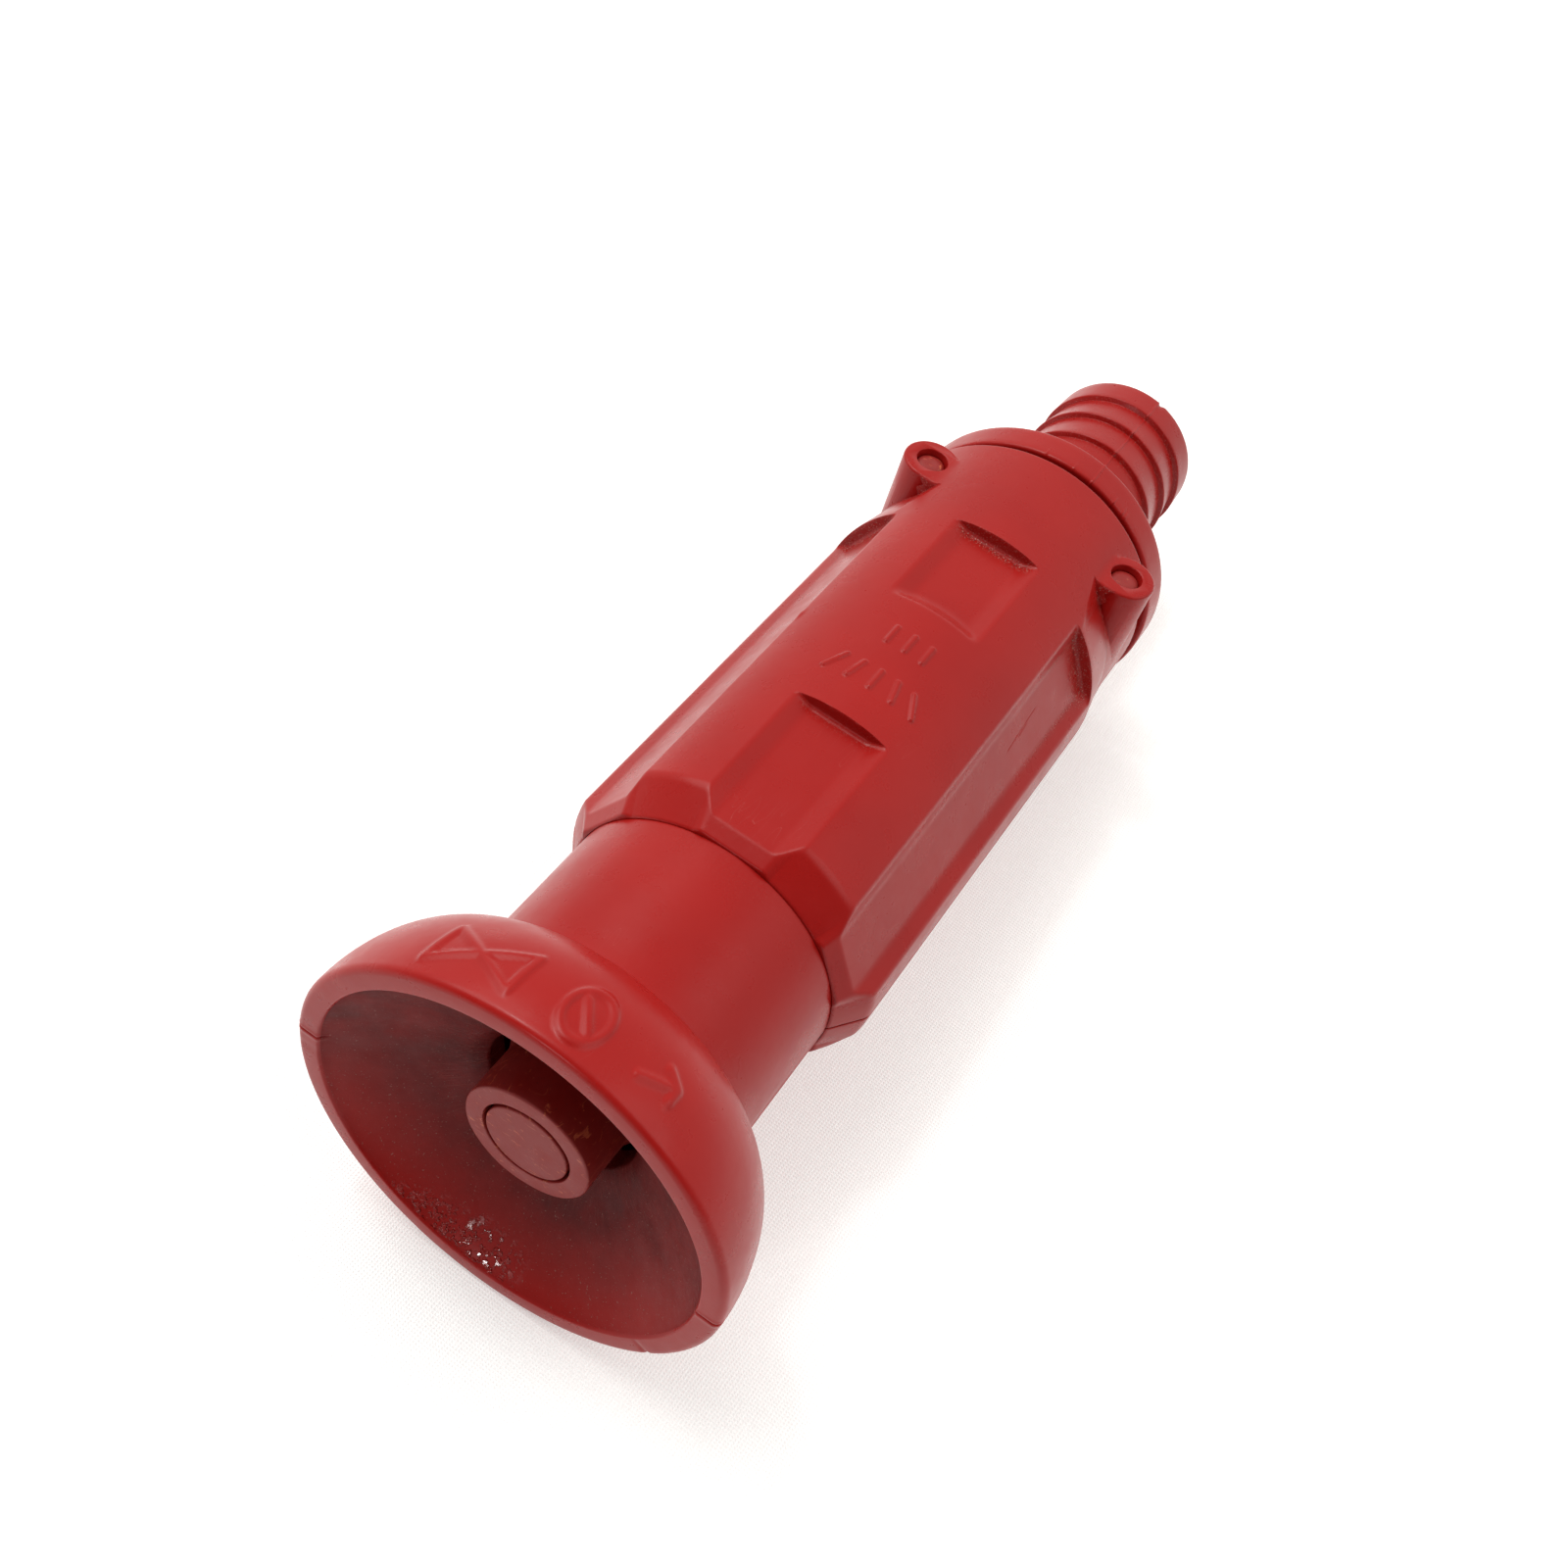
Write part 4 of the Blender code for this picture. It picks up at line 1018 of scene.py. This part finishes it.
makeTail()
print("hose tail made")


plug = {
    "face": 4.6,
    "radius": 9.1,
    "recess": 6.4,
    "recessFloor": 8.1,
    "seat": 10.6,
    "seatStart": 15.9,
    "end": 21.2,
    "sealGroove": (17.3, 19.7, 8.6),
    "stemHole": 3.9,
    "stemEnd": 10.5,
    "shankHole": 2.3,
    "cap": 5.95,
    "capBack": 7.8,
    "capShank": 2.0,
    "capEnd": 18.4,
    "capLift": 0.1,
    "capShift": (-0.05, -0.36),
}


def makePlug():
    face = plug["face"]
    grooveStart, grooveEnd, grooveRadius = plug["sealGroove"]
    corners = [
        (face, plug["recess"], 0.15),
        (face, plug["radius"], 0.35),
        (plug["seatStart"] - 2.7, plug["radius"], 0.0),
        (plug["seatStart"], plug["seat"], 0.3),
        (grooveStart, plug["seat"], 0.0),
        (grooveStart, grooveRadius, 0.0),
        (grooveEnd, grooveRadius, 0.0),
        (grooveEnd, plug["seat"], 0.0),
        (plug["end"], plug["seat"], 0.2),
        (plug["end"], plug["stemHole"], 0.0),
        (plug["stemEnd"], plug["stemHole"], 0.0),
        (plug["stemEnd"], plug["shankHole"], 0.0),
        (plug["recessFloor"], plug["shankHole"], 0.0),
        (plug["recessFloor"], plug["recess"], 0.0),
    ]
    outline = []
    rounded = roundCorners(corners, 4)
    for index, point in enumerate(rounded):
        outline.append(point)
        ahead = rounded[(index + 1) % len(rounded)]
        parts = int(float(np.linalg.norm(ahead - point)) / 1.5)
        for part in range(1, parts):
            outline.append(point + (ahead - point) * part / parts)

    def scuffed(behind, radius, angle):
        # The moulding's face is slightly uneven.
        onFace = (behind < face + 0.5) & (radius < plug["radius"] + 0.1)
        waves = 0.03 * np.sin(np.radians(angle) * 3 + 0.6) + 0.02 * np.sin(np.radians(angle) * 7)
        return waves * onFace

    body = turnProfile("plugBody", outline, np.arange(160) * 2.25, scuffed)
    body.data.materials.append(plugPlastic)
    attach(body, "grip")
    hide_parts("plug")
    lift = face + plug["capLift"]
    corners = [
        (lift, 0.0, 0.0),
        (lift, plug["cap"], 0.25),
        (plug["capBack"], plug["cap"], 0.0),
        (plug["capBack"], plug["capShank"], 0.0),
        (plug["capEnd"], plug["capShank"], 0.0),
        (plug["capEnd"], 0.0, 0.0),
    ]
    cap = turnSolid("plugCapScrew", roundCorners(corners, 4), 128, plug["capShift"])
    cap.data.materials.append(plugPlastic)
    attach(cap, "grip")
    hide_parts("plug_cap_screw")


makePlug()
print("plug made")


# The inner pieces keep their own shape and get a better finish.
innerFinishes = {
    "water_tube": innerPlastic,
    "stem_spider": innerPlastic,
    "plug_seal": rubber,
    "sleeve_seal": rubber,
    "tail_seal": rubber,
    "thrust_washer": acetal,
    "guide_ring_left": acetal,
    "guide_ring_right": acetal,
    "cam_pin_1": steel,
    "cam_pin_2": steel,
}
for nodeName, finish in innerFinishes.items():
    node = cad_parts[nodeName]
    node.data.materials.clear()
    node.data.materials.append(finish)
print("inner pieces finished")


setting = {
    "floorReach": 5.0,
    "floorColour": (0.76, 0.765, 0.76),
    "floorGlow": 0.40,
    "restSlope": 0.0551,
    "worldColour": (1.0, 0.98, 0.94),
    "worldBack": 1.02,
    "worldFront": 0.15,
    "dimPatch": (-0.58, -0.24, 0.78),
    "dimShare": 0.95,
    "cameraPlace": (0.17876, 0.03992, 0.22377),
    "cameraForward": (-0.62977, -0.17810, -0.75609),
    "cameraUp": (-0.58175, -0.53686, 0.61102),
    "lens": 40.83,
}
warmWhite = (1.0, 0.985, 0.955)
plainWhite = (1.0, 1.0, 1.0)
# Each light: where it stands, where it points, its size, its power and its colour.
lights = {
    "softKeyLight": ((-0.06, -0.68, 1.1), (0.0, 0.0, 0.02), 1.2, 10.5, warmWhite),
    "softFillLight": ((-0.20, 0.85, 1.0), (0.0, 0.0, 0.02), 1.1, 4.2, warmWhite),
    "smallCeilingLight": ((0.04, -0.5, 1.15), (0.0, 0.0, 0.02), 0.14, 2.4, plainWhite),
    "bowlGlintLight": ((1.085, -0.13, 0.454), (0.09, 0.0, 0.004), 0.13, 1.4, plainWhite),
}


def makeFloor():
    # The bell's rim and the tail's flange both touch the floor, so it slopes a little along the nozzle.
    reach = setting["floorReach"]
    slope = setting["restSlope"]
    shape = bmesh.new()
    corners = []
    for x, y in ((-reach, -reach), (reach, -reach), (reach, reach), (-reach, reach)):
        corners.append(shape.verts.new((x, y, -slope * (x - rimX) - 0.0003)))
    shape.faces.new(corners)
    mesh = bpy.data.meshes.new("clothFloor")
    shape.to_mesh(mesh)
    shape.free()
    floor = bpy.data.objects.new("clothFloor", mesh)
    bpy.context.scene.collection.objects.link(floor)
    shade = Shade("white cloth")
    weave = shade.add("ShaderNodeTexWave", wave_type="BANDS", bands_direction="X")
    shade.feed(weave.inputs["Vector"], shade.where)
    weave.inputs["Scale"].default_value = 640.0
    weave.inputs["Distortion"].default_value = 1.2
    cross = shade.add("ShaderNodeTexWave", wave_type="BANDS", bands_direction="Y")
    shade.feed(cross.inputs["Vector"], shade.where)
    cross.inputs["Scale"].default_value = 640.0
    cross.inputs["Distortion"].default_value = 1.2
    cloth = shade.maths("MAXIMUM", weave.outputs["Fac"], cross.outputs["Fac"])
    base = setting["floorColour"]
    colour = shade.blend(cloth, tuple(c * 0.89 for c in base), base)
    normal = shade.bump(cloth, 0.5, 0.0002)
    glow = {"Emission_Color": (1.0, 0.995, 0.985, 1.0), "Emission_Strength": setting["floorGlow"]}
    mesh.materials.append(shade.finish(colour, 0.9, normal, **glow))


def makeAreaLight(name, position, target, size, power, colour):
    data = bpy.data.lights.new(name, "AREA")
    data.shape = "DISK"
    data.size = size
    data.energy = power
    data.color = colour
    light = bpy.data.objects.new(name, data)
    bpy.context.scene.collection.objects.link(light)
    light.location = position
    direction = Vector(target) - Vector(position)
    light.rotation_euler = direction.to_track_quat("-Z", "Y").to_euler()


def makeCamera():
    forward = Vector(setting["cameraForward"]).normalized()
    up = Vector(setting["cameraUp"])
    right = forward.cross(up).normalized()
    up = right.cross(forward).normalized()
    data = bpy.data.cameras.new("camera")
    data.lens = setting["lens"]
    data.sensor_width = 36.0
    data.clip_start = 0.005
    camera = bpy.data.objects.new("camera", data)
    bpy.context.scene.collection.objects.link(camera)
    turn = Matrix((right, up, -forward)).transposed()
    camera.matrix_world = Matrix.Translation(setting["cameraPlace"]) @ turn.to_4x4()
    bpy.context.scene.camera = camera


def makeWorld():
    # A soft room: bright behind the tail, darker in front of the bell, with one dim patch of ceiling.
    world = bpy.data.worlds.new("studio")
    bpy.context.scene.world = world
    world.use_nodes = True
    tree = world.node_tree
    back = tree.nodes["Background"]
    where = tree.nodes.new("ShaderNodeTexCoord")
    strengths = []
    for direction, low, high, toLow, toHigh in (
        ((1.0, 0.25, 0.0), -0.4, 0.75, setting["worldBack"], setting["worldFront"]),
        (setting["dimPatch"], 0.90, 0.985, 1.0, setting["dimShare"]),
    ):
        dot = tree.nodes.new("ShaderNodeVectorMath")
        dot.operation = "DOT_PRODUCT"
        tree.links.new(where.outputs["Generated"], dot.inputs[0])
        dot.inputs[1].default_value = Vector(direction).normalized()
        change = tree.nodes.new("ShaderNodeMapRange")
        change.interpolation_type = "SMOOTHSTEP"
        tree.links.new(dot.outputs["Value"], change.inputs["Value"])
        for key, number in (("From Min", low), ("From Max", high), ("To Min", toLow), ("To Max", toHigh)):
            change.inputs[key].default_value = number
        strengths.append(change.outputs["Result"])
    product = tree.nodes.new("ShaderNodeMath")
    product.operation = "MULTIPLY"
    tree.links.new(strengths[0], product.inputs[0])
    tree.links.new(strengths[1], product.inputs[1])
    tree.links.new(product.outputs[0], back.inputs["Strength"])
    back.inputs["Color"].default_value = (*setting["worldColour"], 1.0)


makeFloor()
makeWorld()
for lightName, light in lights.items():
    makeAreaLight(lightName, *light)
makeCamera()
bpy.context.scene.view_settings.view_transform = "Standard"
print("floor, light and camera ready")
